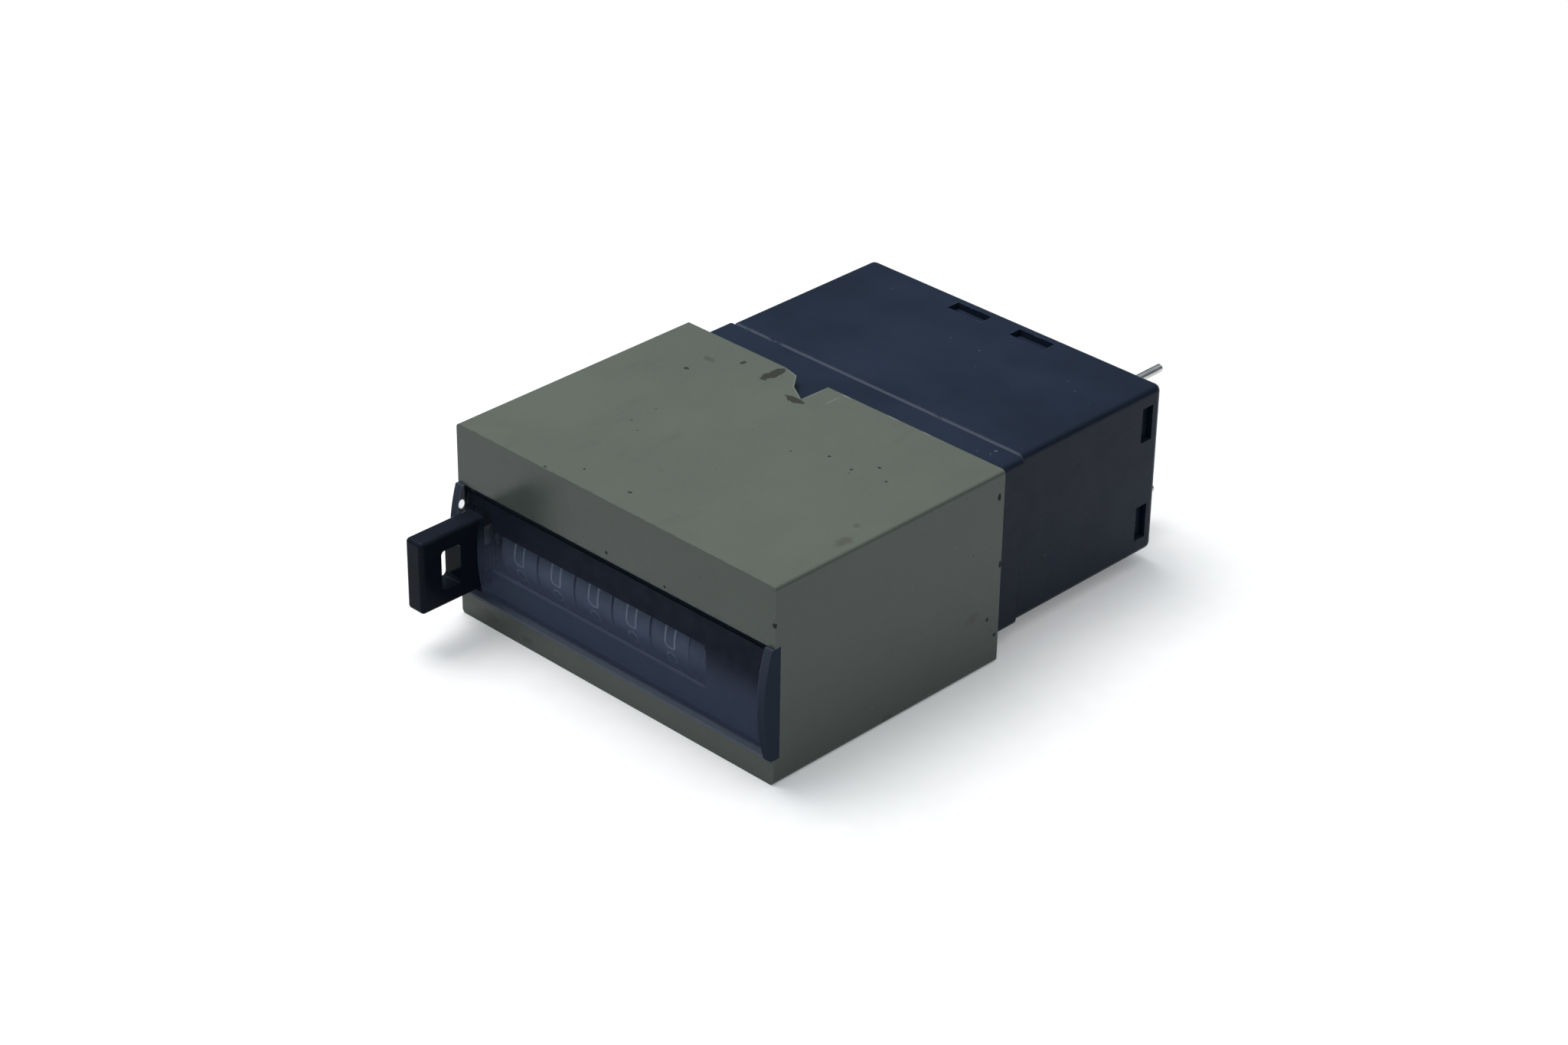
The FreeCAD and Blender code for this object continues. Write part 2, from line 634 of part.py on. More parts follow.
def make_drum_shaft():
    body = new_body("drum_shaft", 0.0, s.drum_depth, s.drum_level)
    pad(body, "X", slider_right + 0.02, s.right_cheek_face - 0.05,
        circles=[(0.0, 0.0, s.shaft_radius)])
    pad(body, "X", cheek_left - 0.05, slider_right + 0.5, circles=[(0.0, 0.0, s.journal_radius)])
    pad(body, "X", s.right_cheek_face - 0.5, s.right_cheek_face + s.right_cheek_thickness + 0.3,
        circles=[(0.0, 0.0, s.journal_radius)])
    pocket(body, "X", s.first_drum - s.drum_width / 2, last_drum_right, [box(
        -s.shaft_radius * 0.25, s.shaft_radius * 0.25, s.shaft_radius * 0.7, s.shaft_radius + PAST
    )])


def make_number_drum(number):
    """Drum from the left. Internal teeth on its right drive it, two carry teeth drive the next."""
    middle = s.first_drum + s.drum_pitch * (number - 1)
    body = new_body(f"number_drum_{number}", middle, s.drum_depth, s.drum_level)
    half = s.drum_width / 2
    web = s.drum_web / 2
    pad(body, "X", -half, half, circles=[(0.0, 0.0, s.drum_radius)])
    pocket(body, "X", -half - PAST, -web, circles=[
        (0.0, 0.0, carry_cavity), (0.0, 0.0, s.hub_radius)
    ])
    pocket(body, "X", web, half + PAST, circles=[
        (0.0, 0.0, ring_root), (0.0, 0.0, s.hub_radius)
    ])
    pad(body, "X", -half, half, circles=[(0.0, 0.0, s.hub_radius)])
    pocket(body, "X", -half - PAST, half + PAST, circles=[(0.0, 0.0, bore_radius)])
    tooth_root = s.gear_module * 0.87
    tooth_tip = s.gear_module * 0.43
    if number > 1:
        reach = pinion_offset + pinion_tip + 0.06
        for angle in (63.0, 81.0):
            add_teeth(body, -half, -web, None, carry_cavity + 0.1, reach, tooth_root,
                      tooth_tip, angle=angle)
    if number < 5:
        add_teeth(body, web, half, s.ring_teeth, ring_root + 0.1, ring_tip, tooth_root, tooth_tip)


def make_pinion_carrier(number):
    """Thin plate in the gap to the right of a drum, held by the comb, with the pinion's hole."""
    gap = s.first_drum + s.drum_pitch * (number - 0.5)
    body = new_body(f"pinion_carrier_{number}", gap, s.drum_depth, s.drum_level, CARRIER_ANGLE)
    half = s.carrier_thickness / 2
    wide = s.hub_radius
    neck = s.comb_side * 0.28
    shoulder = pinion_offset + pinion_tip
    tongue = s.drum_radius + 1.3
    pad(body, "X", -half, half, [[
        (0.0, -wide), (shoulder, -wide), (shoulder, -neck), (tongue, -neck), (tongue, neck),
        (shoulder, neck), (shoulder, wide), (0.0, wide),
    ]])
    pad(body, "X", -half, half, circles=[(0.0, 0.0, s.shaft_radius * 2)])
    pocket(body, "X", -half - PAST, half + PAST, circles=[
        (0.0, 0.0, bore_radius), (pinion_offset, 0.0, s.pinion_axle + s.running_fit)
    ])


def make_transfer_pinion(number):
    """Six full teeth drive the drum on the left, three follow the carry teeth on the right."""
    gap = s.first_drum + s.drum_pitch * (number - 0.5)
    turn = math.radians(CARRIER_ANGLE)
    body = new_body(
        f"transfer_pinion_{number}", gap, s.drum_depth + pinion_offset * math.cos(turn),
        s.drum_level + pinion_offset * math.sin(turn), CARRIER_ANGLE,
    )
    inner = s.carrier_thickness / 2 + 0.06
    outer = inner + s.pinion_face
    pad(body, "X", -outer, -inner, circles=[(0.0, 0.0, pinion_root)])
    add_teeth(body, -outer, -inner, s.pinion_teeth, pinion_root - 0.15, pinion_tip,
              s.gear_module * 0.8, s.gear_module * 0.3)
    pad(body, "X", -inner - 0.3, inner + 0.3, circles=[(0.0, 0.0, s.pinion_axle)])
    pad(body, "X", inner, outer, circles=[(0.0, 0.0, pinion_root)])
    add_teeth(body, inner, outer, s.pinion_teeth / 2, pinion_root - 0.15, pinion_tip,
              s.gear_module * 0.8, s.gear_module * 0.3)


def make_carrier_comb():
    body = new_body("carrier_comb")
    turn = math.radians(CARRIER_ANGLE)
    reach = s.drum_radius + 0.49
    front = s.drum_depth + reach * math.cos(turn)
    top = s.drum_level + reach * math.sin(turn)
    pad(body, "X", cheek_right, s.right_cheek_face, [box(
        front, front + s.comb_side, top - s.comb_side, top
    )])
    depth = s.comb_side * 0.625
    slit = s.carrier_thickness / 2 + 0.02
    for number in range(1, 5):
        gap = s.first_drum + s.drum_pitch * (number - 0.5)
        pocket(body, "X", gap - slit, gap + slit, [box(
            front - PAST, front + depth, top - depth, top + PAST
        )])


def make_left_cheek():
    body = new_body("left_cheek")
    low = inside_bottom + 0.35
    rear = s.slider_lug_depth + s.slider_thickness
    spring = spring_room()
    pad(body, "X", cheek_left, cheek_right, [[
        (s.drum_depth - 1.1, low), (rear + 0.5, low), (spring, rack_level - 2.1),
        (spring, rack_level + 4.0), (rear + 0.5, s.bridge_level),
        (s.drum_depth - 1.1, s.bridge_level),
    ]])
    pad(body, "Y", spring - s.slider_thickness, spring, [box(
        cheek_left, slider_left + s.reset_coil_radius * 2 + s.slider_thickness,
        rack_level - 0.8, rack_level + 2.8,
    )])
    pocket(body, "X", cheek_left - PAST, cheek_right + PAST, circles=[
        (s.drum_depth, s.drum_level, s.journal_radius + s.running_fit)
    ])


def spring_room():
    """Rear end of the left side plate: full travel of the slider and the closed spring."""
    return s.slider_lug_depth + s.slider_thickness + rack_pitch * s.reset_teeth + 7.2


def make_right_cheek():
    body = new_body("right_cheek")
    left = s.right_cheek_face
    right = left + s.right_cheek_thickness
    low = s.drum_level - s.drum_radius
    pad(body, "X", left, right, [box(s.cheek_front, yoke_rear, low, s.bridge_level)])
    pad(body, "X", shroud_left, left + 0.2, circles=[
        (s.drum_depth, s.drum_level, s.drum_radius),
        (s.drum_depth, s.drum_level, s.drum_radius - s.shroud_wall),
    ])
    turn = math.radians(SHROUD_OPEN)
    wide = s.drum_radius * 1.5
    pocket(body, "X", shroud_left - PAST, left, [[
        (s.drum_depth, s.drum_level),
        (s.drum_depth + wide * math.cos(turn), s.drum_level - wide * math.sin(turn)),
        (s.drum_depth + wide, s.drum_level),
        (s.drum_depth + wide * math.cos(turn), s.drum_level + wide * math.sin(turn)),
    ]])
    pocket(body, "X", left - PAST, right + PAST, circles=[
        (s.drum_depth, s.drum_level, s.journal_radius + s.running_fit)
    ])


def make_bridge_plate():
    body = new_body("bridge_plate")
    side = inside_half - 0.1
    pad(body, "Z", s.bridge_level, s.bridge_level + s.bridge_thickness, [box(
        -side, side, s.cheek_front, s.cheek_front + s.bridge_depth
    )])


def make_star_wheel():
    body = new_body("star_wheel", 0.0, s.drum_depth, s.drum_level)
    right = s.star_left + s.star_face
    root = s.star_radius * 0.72
    pad(body, "X", s.star_left, right, circles=[(0.0, 0.0, root)])
    add_teeth(body, s.star_left, right, s.star_teeth, root - 0.2, s.star_radius,
              s.star_radius * 0.2, s.star_radius * 0.05)
    pad(body, "X", last_drum_right, s.right_cheek_face - 0.1, circles=[(0.0, 0.0, s.hub_radius)])
    pocket(body, "X", last_drum_right - PAST, s.right_cheek_face + PAST, circles=[
        (0.0, 0.0, bore_radius)
    ])


def make_armature():
    body = new_body("armature", 0.0, s.pivot_depth, s.pivot_level)
    half = s.armature_thickness / 2
    pad(body, "X", 0.0, s.armature_width, [box(-half, half, -s.armature_drop, 0.0)])
    pad(body, "X", 0.0, s.armature_width, circles=[(0.0, 0.0, half * 1.3)])
    tail = half * 1.2
    pad(body, "X", s.coil_middle - tail, s.coil_middle + tail, [box(
        -half * 0.6, half * 0.6, 0.0, s.armature_tail
    )])
    pocket(body, "X", -PAST, s.armature_width + PAST, circles=[
        (0.0, 0.0, s.pivot_pin + s.running_fit)
    ])


def make_armature_pin():
    body = new_body("armature_pin", 0.0, s.pivot_depth, s.pivot_level)
    pad(body, "X", -1.2, prong_right + 1.0, circles=[(0.0, 0.0, s.pivot_pin)])


def make_verge():
    """Bow over the star wheel, with one pallet behind the wheel and one in front of it."""
    body = new_body("verge", 0.0, s.drum_depth, s.drum_level)
    outer = s.drum_radius - s.shroud_wall - 0.2
    inner = outer - 0.55
    foot = armature_front - s.drum_depth
    turn = math.radians(VERGE_TILT)
    low = -0.6
    level = 0.6
    bow = s.star_radius + s.verge_gap
    travel = 0.66
    inner_end = Size(
        f"sqrt({inner.text} * {inner.text} - {level * level})",
        math.sqrt(inner.value ** 2 - level ** 2),
    )
    pad(body, "X", s.star_left, s.star_left + s.star_face, [[
        (foot, low),
        (foot, outer * math.sin(turn)),
        (outer * math.cos(turn), outer * math.sin(turn), outer),
        (-outer, 0.0),
        (-outer, low),
        (-bow - travel, -0.15),
        (-inner_end, level, -inner),
        (inner_end, level),
        (bow, 0.1),
        (bow + 0.4, low),
    ]])


def make_yoke():
    body = new_body("coil_yoke")
    left = as_size(-1.0)
    pad(body, "Y", yoke_front, yoke_rear, [box(
        left, s.right_cheek_face, s.coil_level - s.flange_radius, yoke_top
    )])
    pad(body, "Y", armature_rear + 0.35, yoke_front + 0.5, [box(
        left, prong_right + 0.8, yoke_bottom, yoke_top
    )])
    for start, end in ((left, left + 0.8), (prong_right, prong_right + 0.8)):
        pad(body, "Y", armature_front - 0.2, armature_rear + 0.5, [box(
            start, end, yoke_bottom, yoke_top
        )])
    pad(body, "Y", spring_post(), spring_post() + 0.8, [box(
        s.coil_middle - 0.5, s.coil_middle + 0.5, yoke_bottom + 0.5, spring_level + 0.6
    )])
    pocket(body, "X", left - PAST, prong_right + 2.0, circles=[
        (s.pivot_depth, s.pivot_level, s.pivot_pin)
    ])
    pocket(body, "Y", yoke_front - PAST, yoke_rear + PAST, circles=[
        (s.coil_middle, s.coil_level, s.core_radius * 0.65)
    ])


def spring_post():
    """Front face of the post that holds the armature spring."""
    return s.pivot_depth + 10.4


def make_coil():
    core = new_body("coil_core", s.coil_middle, 0.0, s.coil_level)
    pad(core, "Y", pole_face, yoke_front, circles=[(0.0, 0.0, s.core_radius)])
    pad(core, "Y", yoke_front - 0.5, yoke_rear, circles=[(0.0, 0.0, s.core_radius * 0.65)])
    pocket(core, "Y", yoke_rear - 4.0, yoke_rear + PAST, circles=[
        (0.0, 0.0, s.core_radius * 0.4)
    ])
    bobbin = new_body("coil_bobbin", s.coil_middle, 0.0, s.coil_level)
    pad(bobbin, "Y", bobbin_front, bobbin_rear, circles=[(0.0, 0.0, bobbin_tube)])
    for start in (bobbin_front, bobbin_rear - s.flange_thickness):
        pad(bobbin, "Y", start, start + s.flange_thickness, circles=[
            (0.0, 0.0, s.flange_radius)
        ])
    pad(bobbin, "Y", bobbin_rear - s.flange_thickness, bobbin_rear, [box(
        -s.flange_radius - 2.6, 0.0, -1.6, 1.6
    )])
    pocket(bobbin, "Y", bobbin_front - PAST, bobbin_rear + PAST, circles=[
        (0.0, 0.0, s.core_radius + 0.05)
    ])
    winding = new_body("coil_winding", s.coil_middle, 0.0, s.coil_level)
    pad(winding, "Y", bobbin_front + s.flange_thickness, bobbin_rear - s.flange_thickness, circles=[
        (0.0, 0.0, s.winding_radius), (0.0, 0.0, bobbin_tube + 0.02)
    ])
    screw = new_body("core_screw", s.coil_middle, 0.0, s.coil_level)
    pad(screw, "Y", yoke_rear, yoke_rear + 0.9, circles=[(0.0, 0.0, s.core_radius * 0.85)])
    pad(screw, "Y", yoke_rear - 3.5, yoke_rear + 0.3, circles=[(0.0, 0.0, s.core_radius * 0.4)])
    pocket(screw, "Y", yoke_rear + 0.45, yoke_rear + 0.9 + PAST, [box(-2.5, 2.5, -0.2, 0.2)])


def make_lead(label, start_level, end_level):
    """Insulated wire from the bobbin's lug to a terminal pin, round the end of the yoke."""
    begin = s.coil_middle - s.flange_radius - 1.8
    route = [
        (begin, bobbin_rear, s.coil_level + start_level),
        (begin, s.seam_depth + 3.0, s.coil_level + start_level),
        (s.pin_side, s.seam_depth + 12.0, end_level),
        (s.pin_side, s.pin_tail, end_level),
    ]
    points = [FreeCAD.Vector(*(as_size(size).value for size in point)) for point in route]
    edges = []
    here = points[0]
    for corner, after in zip(points[1:-1], points[2:]):
        back = (here - corner).normalize()
        ahead = (after - corner).normalize()
        turn = math.pi - back.getAngle(ahead)
        trim = 0.35 * min((here - corner).Length, (after - corner).Length)
        radius = trim / math.tan(turn / 2)
        centre = corner + (back + ahead).normalize() * (radius / math.cos(turn / 2))
        middle = centre + (corner - centre).normalize() * radius
        entry = corner + back * trim
        leave = corner + ahead * trim
        edges.append(Part.LineSegment(here, entry).toShape())
        edges.append(Part.Arc(entry, middle, leave).toShape())
        here = leave
    edges.append(Part.LineSegment(here, points[-1]).toShape())
    path = Part.Wire(edges)
    across = FreeCAD.Vector(s.lead_radius.value, 0.0, 0.0)
    ring = []
    for corner in range(LEAD_FLATS + 1):
        turned = FreeCAD.Rotation(Y_AXIS, 360.0 * corner / LEAD_FLATS)
        ring.append(points[0] + turned.multVec(across))
    lead = doc.addObject("Part::Feature", label)
    lead.Label = label
    lead.Shape = path.makePipeShell([Part.makePolygon(ring)], True, True)
    bind(lead, "Placement.Base.y", -s.sleeve_depth / 2)
    nodes.append(lead)


def make_spring(label, x, start, end, z, coil_radius, wire_radius, turns):
    """Wire wound about an axis along Y, in short straight runs."""
    wire = wire_radius.value
    radius = coil_radius.value
    steps = turns * SPRING_RUNS
    first = as_size(start).value + wire * 1.2
    rise = (as_size(end).value - wire * 1.2 - first) / steps
    points = []
    for step in range(steps + 1):
        angle = math.tau * step / SPRING_RUNS
        points.append(FreeCAD.Vector(
            as_size(x).value + radius * math.cos(angle), first + rise * step,
            as_size(z).value + radius * math.sin(angle),
        ))
    along_wire = (points[1] - points[0]).normalize()
    side = Y_AXIS.cross(along_wire).normalize() * wire
    ring = []
    for corner in range(SPRING_FLATS + 1):
        turned = FreeCAD.Rotation(along_wire, 360.0 * corner / SPRING_FLATS)
        ring.append(points[0] + turned.multVec(side))
    spring = doc.addObject("Part::Feature", label)
    spring.Label = label
    path = Part.makePolygon(points)
    spring.Shape = path.makePipeShell([Part.makePolygon(ring)], True, True, 1)
    bind(spring, "Placement.Base.y", -s.sleeve_depth / 2)
    nodes.append(spring)


make_sleeve()
make_lens()
make_mask()
make_front_case()
make_rear_case()
make_rear_cover()
make_terminal_pin("terminal_pin_upper", s.pin_high)
make_terminal_pin("terminal_pin_lower", s.pin_low)
make_reset_key()
make_reset_slider()
make_reset_gear()
make_drum_shaft()
for drum_number in range(1, 6):
    make_number_drum(drum_number)
for gap_number in range(1, 5):
    make_pinion_carrier(gap_number)
    make_transfer_pinion(gap_number)
make_carrier_comb()
make_left_cheek()
make_right_cheek()
make_bridge_plate()
make_star_wheel()
make_armature()
make_armature_pin()
make_verge()
make_yoke()
make_coil()
make_lead("coil_lead_upper", 0.8, s.pin_high)
make_lead("coil_lead_lower", -0.8, s.pin_low)
make_spring(
    "reset_spring", slider_left + s.reset_coil_radius + 0.3,
    s.slider_lug_depth + s.slider_thickness, spring_room() - s.slider_thickness,
    rack_level + 1.0, s.reset_coil_radius, s.reset_wire, 8,
)
make_spring(
    "armature_spring", s.coil_middle, s.pivot_depth + s.armature_thickness * 0.3,
    spring_post(), spring_level, s.return_coil_radius, s.return_wire, 8,
)
doc.recompute()
for thing in doc.Objects:
    if "Invalid" in thing.State or "Error" in thing.State:
        raise RuntimeError(f"{thing.Label}: {thing.State}")
for node in nodes:
    if node.Shape.isNull() or not node.Shape.isValid():
        raise RuntimeError(f"{node.Label}: no valid shape")
    if len(node.Shape.Solids) != 1:
        raise RuntimeError(f"{node.Label}: {len(node.Shape.Solids)} solids")

os.makedirs("parts", exist_ok=True)
for node in nodes:
    node.Shape.exportStep(f"parts/{node.Label}.step")
    print(f"{node.Label:22s} {node.Shape.Volume:10.3f} mm3")
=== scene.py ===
import json
import math

import bpy
import bmesh
from mathutils import Matrix, Vector

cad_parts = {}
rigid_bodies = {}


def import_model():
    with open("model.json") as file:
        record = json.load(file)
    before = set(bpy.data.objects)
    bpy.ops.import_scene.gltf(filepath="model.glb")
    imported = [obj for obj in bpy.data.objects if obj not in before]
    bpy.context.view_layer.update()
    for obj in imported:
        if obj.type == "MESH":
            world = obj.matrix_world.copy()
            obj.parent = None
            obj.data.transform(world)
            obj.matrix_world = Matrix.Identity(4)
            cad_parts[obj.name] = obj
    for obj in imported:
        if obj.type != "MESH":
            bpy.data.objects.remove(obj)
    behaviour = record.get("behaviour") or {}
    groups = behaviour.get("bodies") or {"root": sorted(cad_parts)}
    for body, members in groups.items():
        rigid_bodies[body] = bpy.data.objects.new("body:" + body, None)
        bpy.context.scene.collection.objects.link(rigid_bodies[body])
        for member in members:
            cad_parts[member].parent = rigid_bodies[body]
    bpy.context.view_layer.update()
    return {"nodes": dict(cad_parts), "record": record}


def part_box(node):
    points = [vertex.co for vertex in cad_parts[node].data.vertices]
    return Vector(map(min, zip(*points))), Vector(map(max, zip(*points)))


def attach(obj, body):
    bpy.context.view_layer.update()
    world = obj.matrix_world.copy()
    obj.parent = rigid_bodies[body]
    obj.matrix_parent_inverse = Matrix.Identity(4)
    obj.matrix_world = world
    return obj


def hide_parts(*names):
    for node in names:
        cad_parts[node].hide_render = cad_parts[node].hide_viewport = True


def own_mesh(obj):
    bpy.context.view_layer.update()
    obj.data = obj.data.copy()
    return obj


for old in list(bpy.data.objects):
    bpy.data.objects.remove(old)

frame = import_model()
scene = bpy.context.scene

# Camera: the photograph's view, in the part's own frame.
FOCAL_LENGTH = 85.55  # mm, on a sensor 36 mm wide
camera_data = bpy.data.cameras.new("camera")
camera_data.lens = FOCAL_LENGTH
camera_data.sensor_width = 36.0
camera_data.clip_start = 0.01
camera = bpy.data.objects.new("camera", camera_data)
camera.matrix_world = Matrix((
    (0.71386984, -0.35903987, 0.60123226, 0.244550),
    (0.70014475, 0.34916424, -0.62280146, -0.244659),
    (0.01368175, 0.86554879, 0.50063770, 0.214492),
    (0.0, 0.0, 0.0, 1.0),
))
scene.collection.objects.link(camera)
scene.camera = camera
scene.view_settings.view_transform = "Standard"

MM = 1000.0  # millimetres in a metre


class Shader:
    """A material's node tree with short calls for the nodes that this scene uses."""

    def __init__(self, name):
        self.material = bpy.data.materials.new(name)
        self.material.use_nodes = True
        self.tree = self.material.node_tree
        self.tree.nodes.clear()
        self.out = self.tree.nodes.new("ShaderNodeOutputMaterial")
        self.bsdf = self.tree.nodes.new("ShaderNodeBsdfPrincipled")
        self.link(self.bsdf.outputs[0], self.out.inputs["Surface"])
        self.place = self.tree.nodes.new("ShaderNodeTexCoord").outputs["Object"]

    def link(self, source, socket):
        self.tree.links.new(source, socket)

    def put(self, socket, value):
        """Give a socket a link, a colour or a number."""
        if isinstance(value, bpy.types.NodeSocket):
            self.link(value, socket)
        elif isinstance(value, tuple) and len(value) == 3 and len(socket.default_value) == 4:
            socket.default_value = (*value, 1.0)
        else:
            socket.default_value = value

    def set(self, **values):
        """Put values on the Principled shader's sockets, named with _ for a space."""
        for key, value in values.items():
            self.put(self.bsdf.inputs[key.replace("_", " ")], value)

    def math(self, operation, a, b=0.0):
        node = self.tree.nodes.new("ShaderNodeMath")
        node.operation = operation
        self.put(node.inputs[0], a)
        self.put(node.inputs[1], b)
        return node.outputs[0]

    def vector(self, operation, a, b=(0.0, 0.0, 0.0)):
        node = self.tree.nodes.new("ShaderNodeVectorMath")
        node.operation = operation
        self.put(node.inputs[0], a)
        self.put(node.inputs[1], b)
        return node.outputs["Value" if operation in ("LENGTH", "DOT_PRODUCT") else "Vector"]

    def part(self, axis):
        """One coordinate of the place, metres."""
        node = self.tree.nodes.new("ShaderNodeSeparateXYZ")
        self.link(self.place, node.inputs[0])
        return node.outputs[axis]

    def stretch(self, scale, place=None):
        node = self.tree.nodes.new("ShaderNodeMapping")
        self.link(place or self.place, node.inputs["Vector"])
        node.inputs["Scale"].default_value = scale
        return node.outputs[0]

    def noise(self, scale, detail=3.0, rough=0.55, place=None):
        node = self.tree.nodes.new("ShaderNodeTexNoise")
        self.link(place or self.place, node.inputs["Vector"])
        node.inputs["Scale"].default_value = scale
        node.inputs["Detail"].default_value = detail
        node.inputs["Roughness"].default_value = rough
        return node.outputs["Fac"]

    def cells(self, scale):
        """Distance from the nearest of many scattered points."""
        node = self.tree.nodes.new("ShaderNodeTexVoronoi")
        self.link(self.place, node.inputs["Vector"])
        node.inputs["Scale"].default_value = scale
        return node.outputs["Distance"]

    def step(self, value, low, high, start=0.0, end=1.0):
        """A smooth rise from start at low to end at high."""
        node = self.tree.nodes.new("ShaderNodeMapRange")
        node.interpolation_type = "SMOOTHSTEP"
        self.put(node.inputs["Value"], value)
        limits = (("From Min", low), ("From Max", high), ("To Min", start), ("To Max", end))
        for key, number in limits:
            node.inputs[key].default_value = number
        return node.outputs[0]

    def clouds(self, scale, detail=3.0, rough=0.55, start=0.0, end=1.0):
        """Soft noise, spread over start to end."""
        return self.step(self.noise(scale, detail, rough), 0.3, 0.7, start, end)

    def near(self, value, place, outer, inner):
        """1 where value is within inner of place and 0 beyond outer."""
        away = self.math("ABSOLUTE", self.math("SUBTRACT", value, place))
        return self.step(away, outer, inner)

    def mix(self, factor, a, b):
        node = self.tree.nodes.new("ShaderNodeMix")
        node.data_type = "RGBA"
        self.put(node.inputs[0], factor)
        self.put(node.inputs[6], a)
        self.put(node.inputs[7], b)
        return node.outputs[2]

    def paint(self, under, over, *masks):
        """Colour over laid on colour under by the product of the masks."""
        return self.mix(self.times(*masks), under, over)

    def bump(self, height, distance, strength, under=None):
        node = self.tree.nodes.new("ShaderNodeBump")
        node.inputs["Distance"].default_value = distance
        node.inputs["Strength"].default_value = strength
        self.link(height, node.inputs["Height"])
        if under is not None:
            self.link(under, node.inputs["Normal"])
        return node.outputs[0]

    def edges(self, radius):
        """1 on edges of about that radius and 0 on flats."""
        bevel = self.tree.nodes.new("ShaderNodeBevel")
        bevel.samples = 4
        bevel.inputs["Radius"].default_value = radius
        flat = self.tree.nodes.new("ShaderNodeNewGeometry").outputs["Normal"]
        turned = self.vector("DOT_PRODUCT", bevel.outputs[0], flat)
        return self.step(turned, 0.985, 0.80)

    def facing(self, direction, low, high):
        """1 where the surface looks along direction, in the part's frame."""
        normal = self.tree.nodes.new("ShaderNodeTexCoord").outputs["Normal"]
        return self.step(self.vector("DOT_PRODUCT", normal, direction), low, high)

    def spot(self, centre, size, ragged, grain, edge):
        """1 inside an ellipsoid of half sizes size about centre, mm, with a ragged rim."""
        away = self.vector("SUBTRACT", self.place, tuple(v / MM for v in centre))
        away = self.stretch(tuple(MM / v for v in size), away)
        far = self.vector("LENGTH", away)
        rough = self.math("SUBTRACT", self.noise(grain, 3.0), 0.5)
        rough = self.math("MULTIPLY", rough, ragged * 2.0)
        return self.step(self.math("ADD", far, rough), 1.0, 1.0 - edge)

    def spots(self, places, ragged, grain, edge):
        """1 inside any of the places of a table of centres and half sizes."""
        return self.most(*(self.spot(centre, size, ragged, grain, edge) for centre, size in places))

    def joined(self, operation, values):
        total = values[0]
        for value in values[1:]:
            total = self.math(operation, total, value)
        return total

    def most(self, *values):
        return self.joined("MAXIMUM", values)

    def times(self, *values):
        return self.joined("MULTIPLY", values)


def scaled(colour, factor):
    return tuple(v * factor for v in colour)


# Marks on the sleeve: centre and half sizes, mm.
CHIPS = (  # bare dark spots in the paint
    ((-8.2, 15.1, 23.7), (0.75, 2.1, 0.5)),
    ((-2.5, 12.5, 23.7), (1.35, 0.6, 0.5)),
    ((-15.8, 9.2, 23.7), (0.35, 0.3, 0.4)),
    ((-12.4, 14.7, 23.7), (0.3, 0.45, 0.4)),
    ((9.0, 6.1, 23.7), (0.22, 0.2, 0.3)),
    ((12.6, 5.7, 23.7), (0.2, 0.25, 0.3)),
    ((14.4, 8.1, 23.7), (0.25, 0.2, 0.3)),
    ((16.9, 6.4, 23.7), (0.2, 0.2, 0.3)),
    ((-10.3, -16.9, 23.7), (0.25, 0.2, 0.3)),
    ((-0.1, -14.3, 23.7), (0.3, 0.22, 0.3)),
    ((-7.0, -14.3, 23.7), (0.16, 0.2, 0.3)),
    ((24.0, 16.4, 20.8), (0.5, 0.3, 0.5)),
    ((24.0, 17.0, 12.3), (0.4, 0.2, 0.45)),
    ((24.0, 15.3, 6.1), (0.4, 0.25, 0.25)),
    ((24.0, 16.6, 3.7), (0.4, 0.25, 0.25)),
    ((23.9, -17.2, 19.2), (0.3, 0.3, 0.35)),
    ((-0.65, -17.2, 17.4), (0.22, 0.3, 0.2)),
    ((8.1, -17.2, 17.0), (0.2, 0.3, 0.2)),
)
SCUFFS = (  # brown or grey rubbed places
    ((22.4, -5.8, 23.7), (0.9, 1.9, 0.5)),
    ((21.1, -2.5, 23.7), (0.6, 0.7, 0.5)),
    ((-15.7, 12.5, 23.7), (1.1, 0.5, 0.5)),
    ((-19.0, -17.2, 1.5), (2.6, 0.5, 1.1)),
    ((-13.5, -17.2, 1.0), (1.3, 0.5, 0.5)),
    ((24.0, 12.8, 7.2), (0.5, 1.5, 0.9)),
    ((24.0, -0.1, 0.5), (0.5, 1.3, 0.7)),
)
SCRATCHES = (  # pale lines
    ((-2.9, 16.5, 23.7), (0.16, 1.3, 0.4)),
    ((0.6, 15.4, 23.7), (0.09, 1.7, 0.4)),
    ((1.0, 17.1, 23.7), (0.9, 0.12, 0.4)),
    ((7.9, 17.2, 23.6), (1.1, 0.2, 0.4)),
    ((12.7, 17.2, 23.6), (0.8, 0.2, 0.4)),
    ((24.0, -2.5, 2.9), (0.3, 0.16, 0.12)),
    ((24.0, 6.4, 0.6), (0.3, 0.4, 0.1)),
    ((24.0, 9.9, 17.2), (0.3, 0.16, 0.12)),
    ((-1.7, -17.2, 2.6), (0.16, 0.3, 0.14)),
)
NOTCH = ((-4.8, 15.2, 23.7), (4.2, 3.2, 1.2))       # broken place in the sleeve's rear rim
HAIR = ((19.4, 20.7, 22.6), (0.45, 0.7, 0.3))       # curled hair on the front case
GLINT = ((-24.0, -16.85, 13.52), (1.6, 0.50, 0.62))  # light seen through the lens's left end

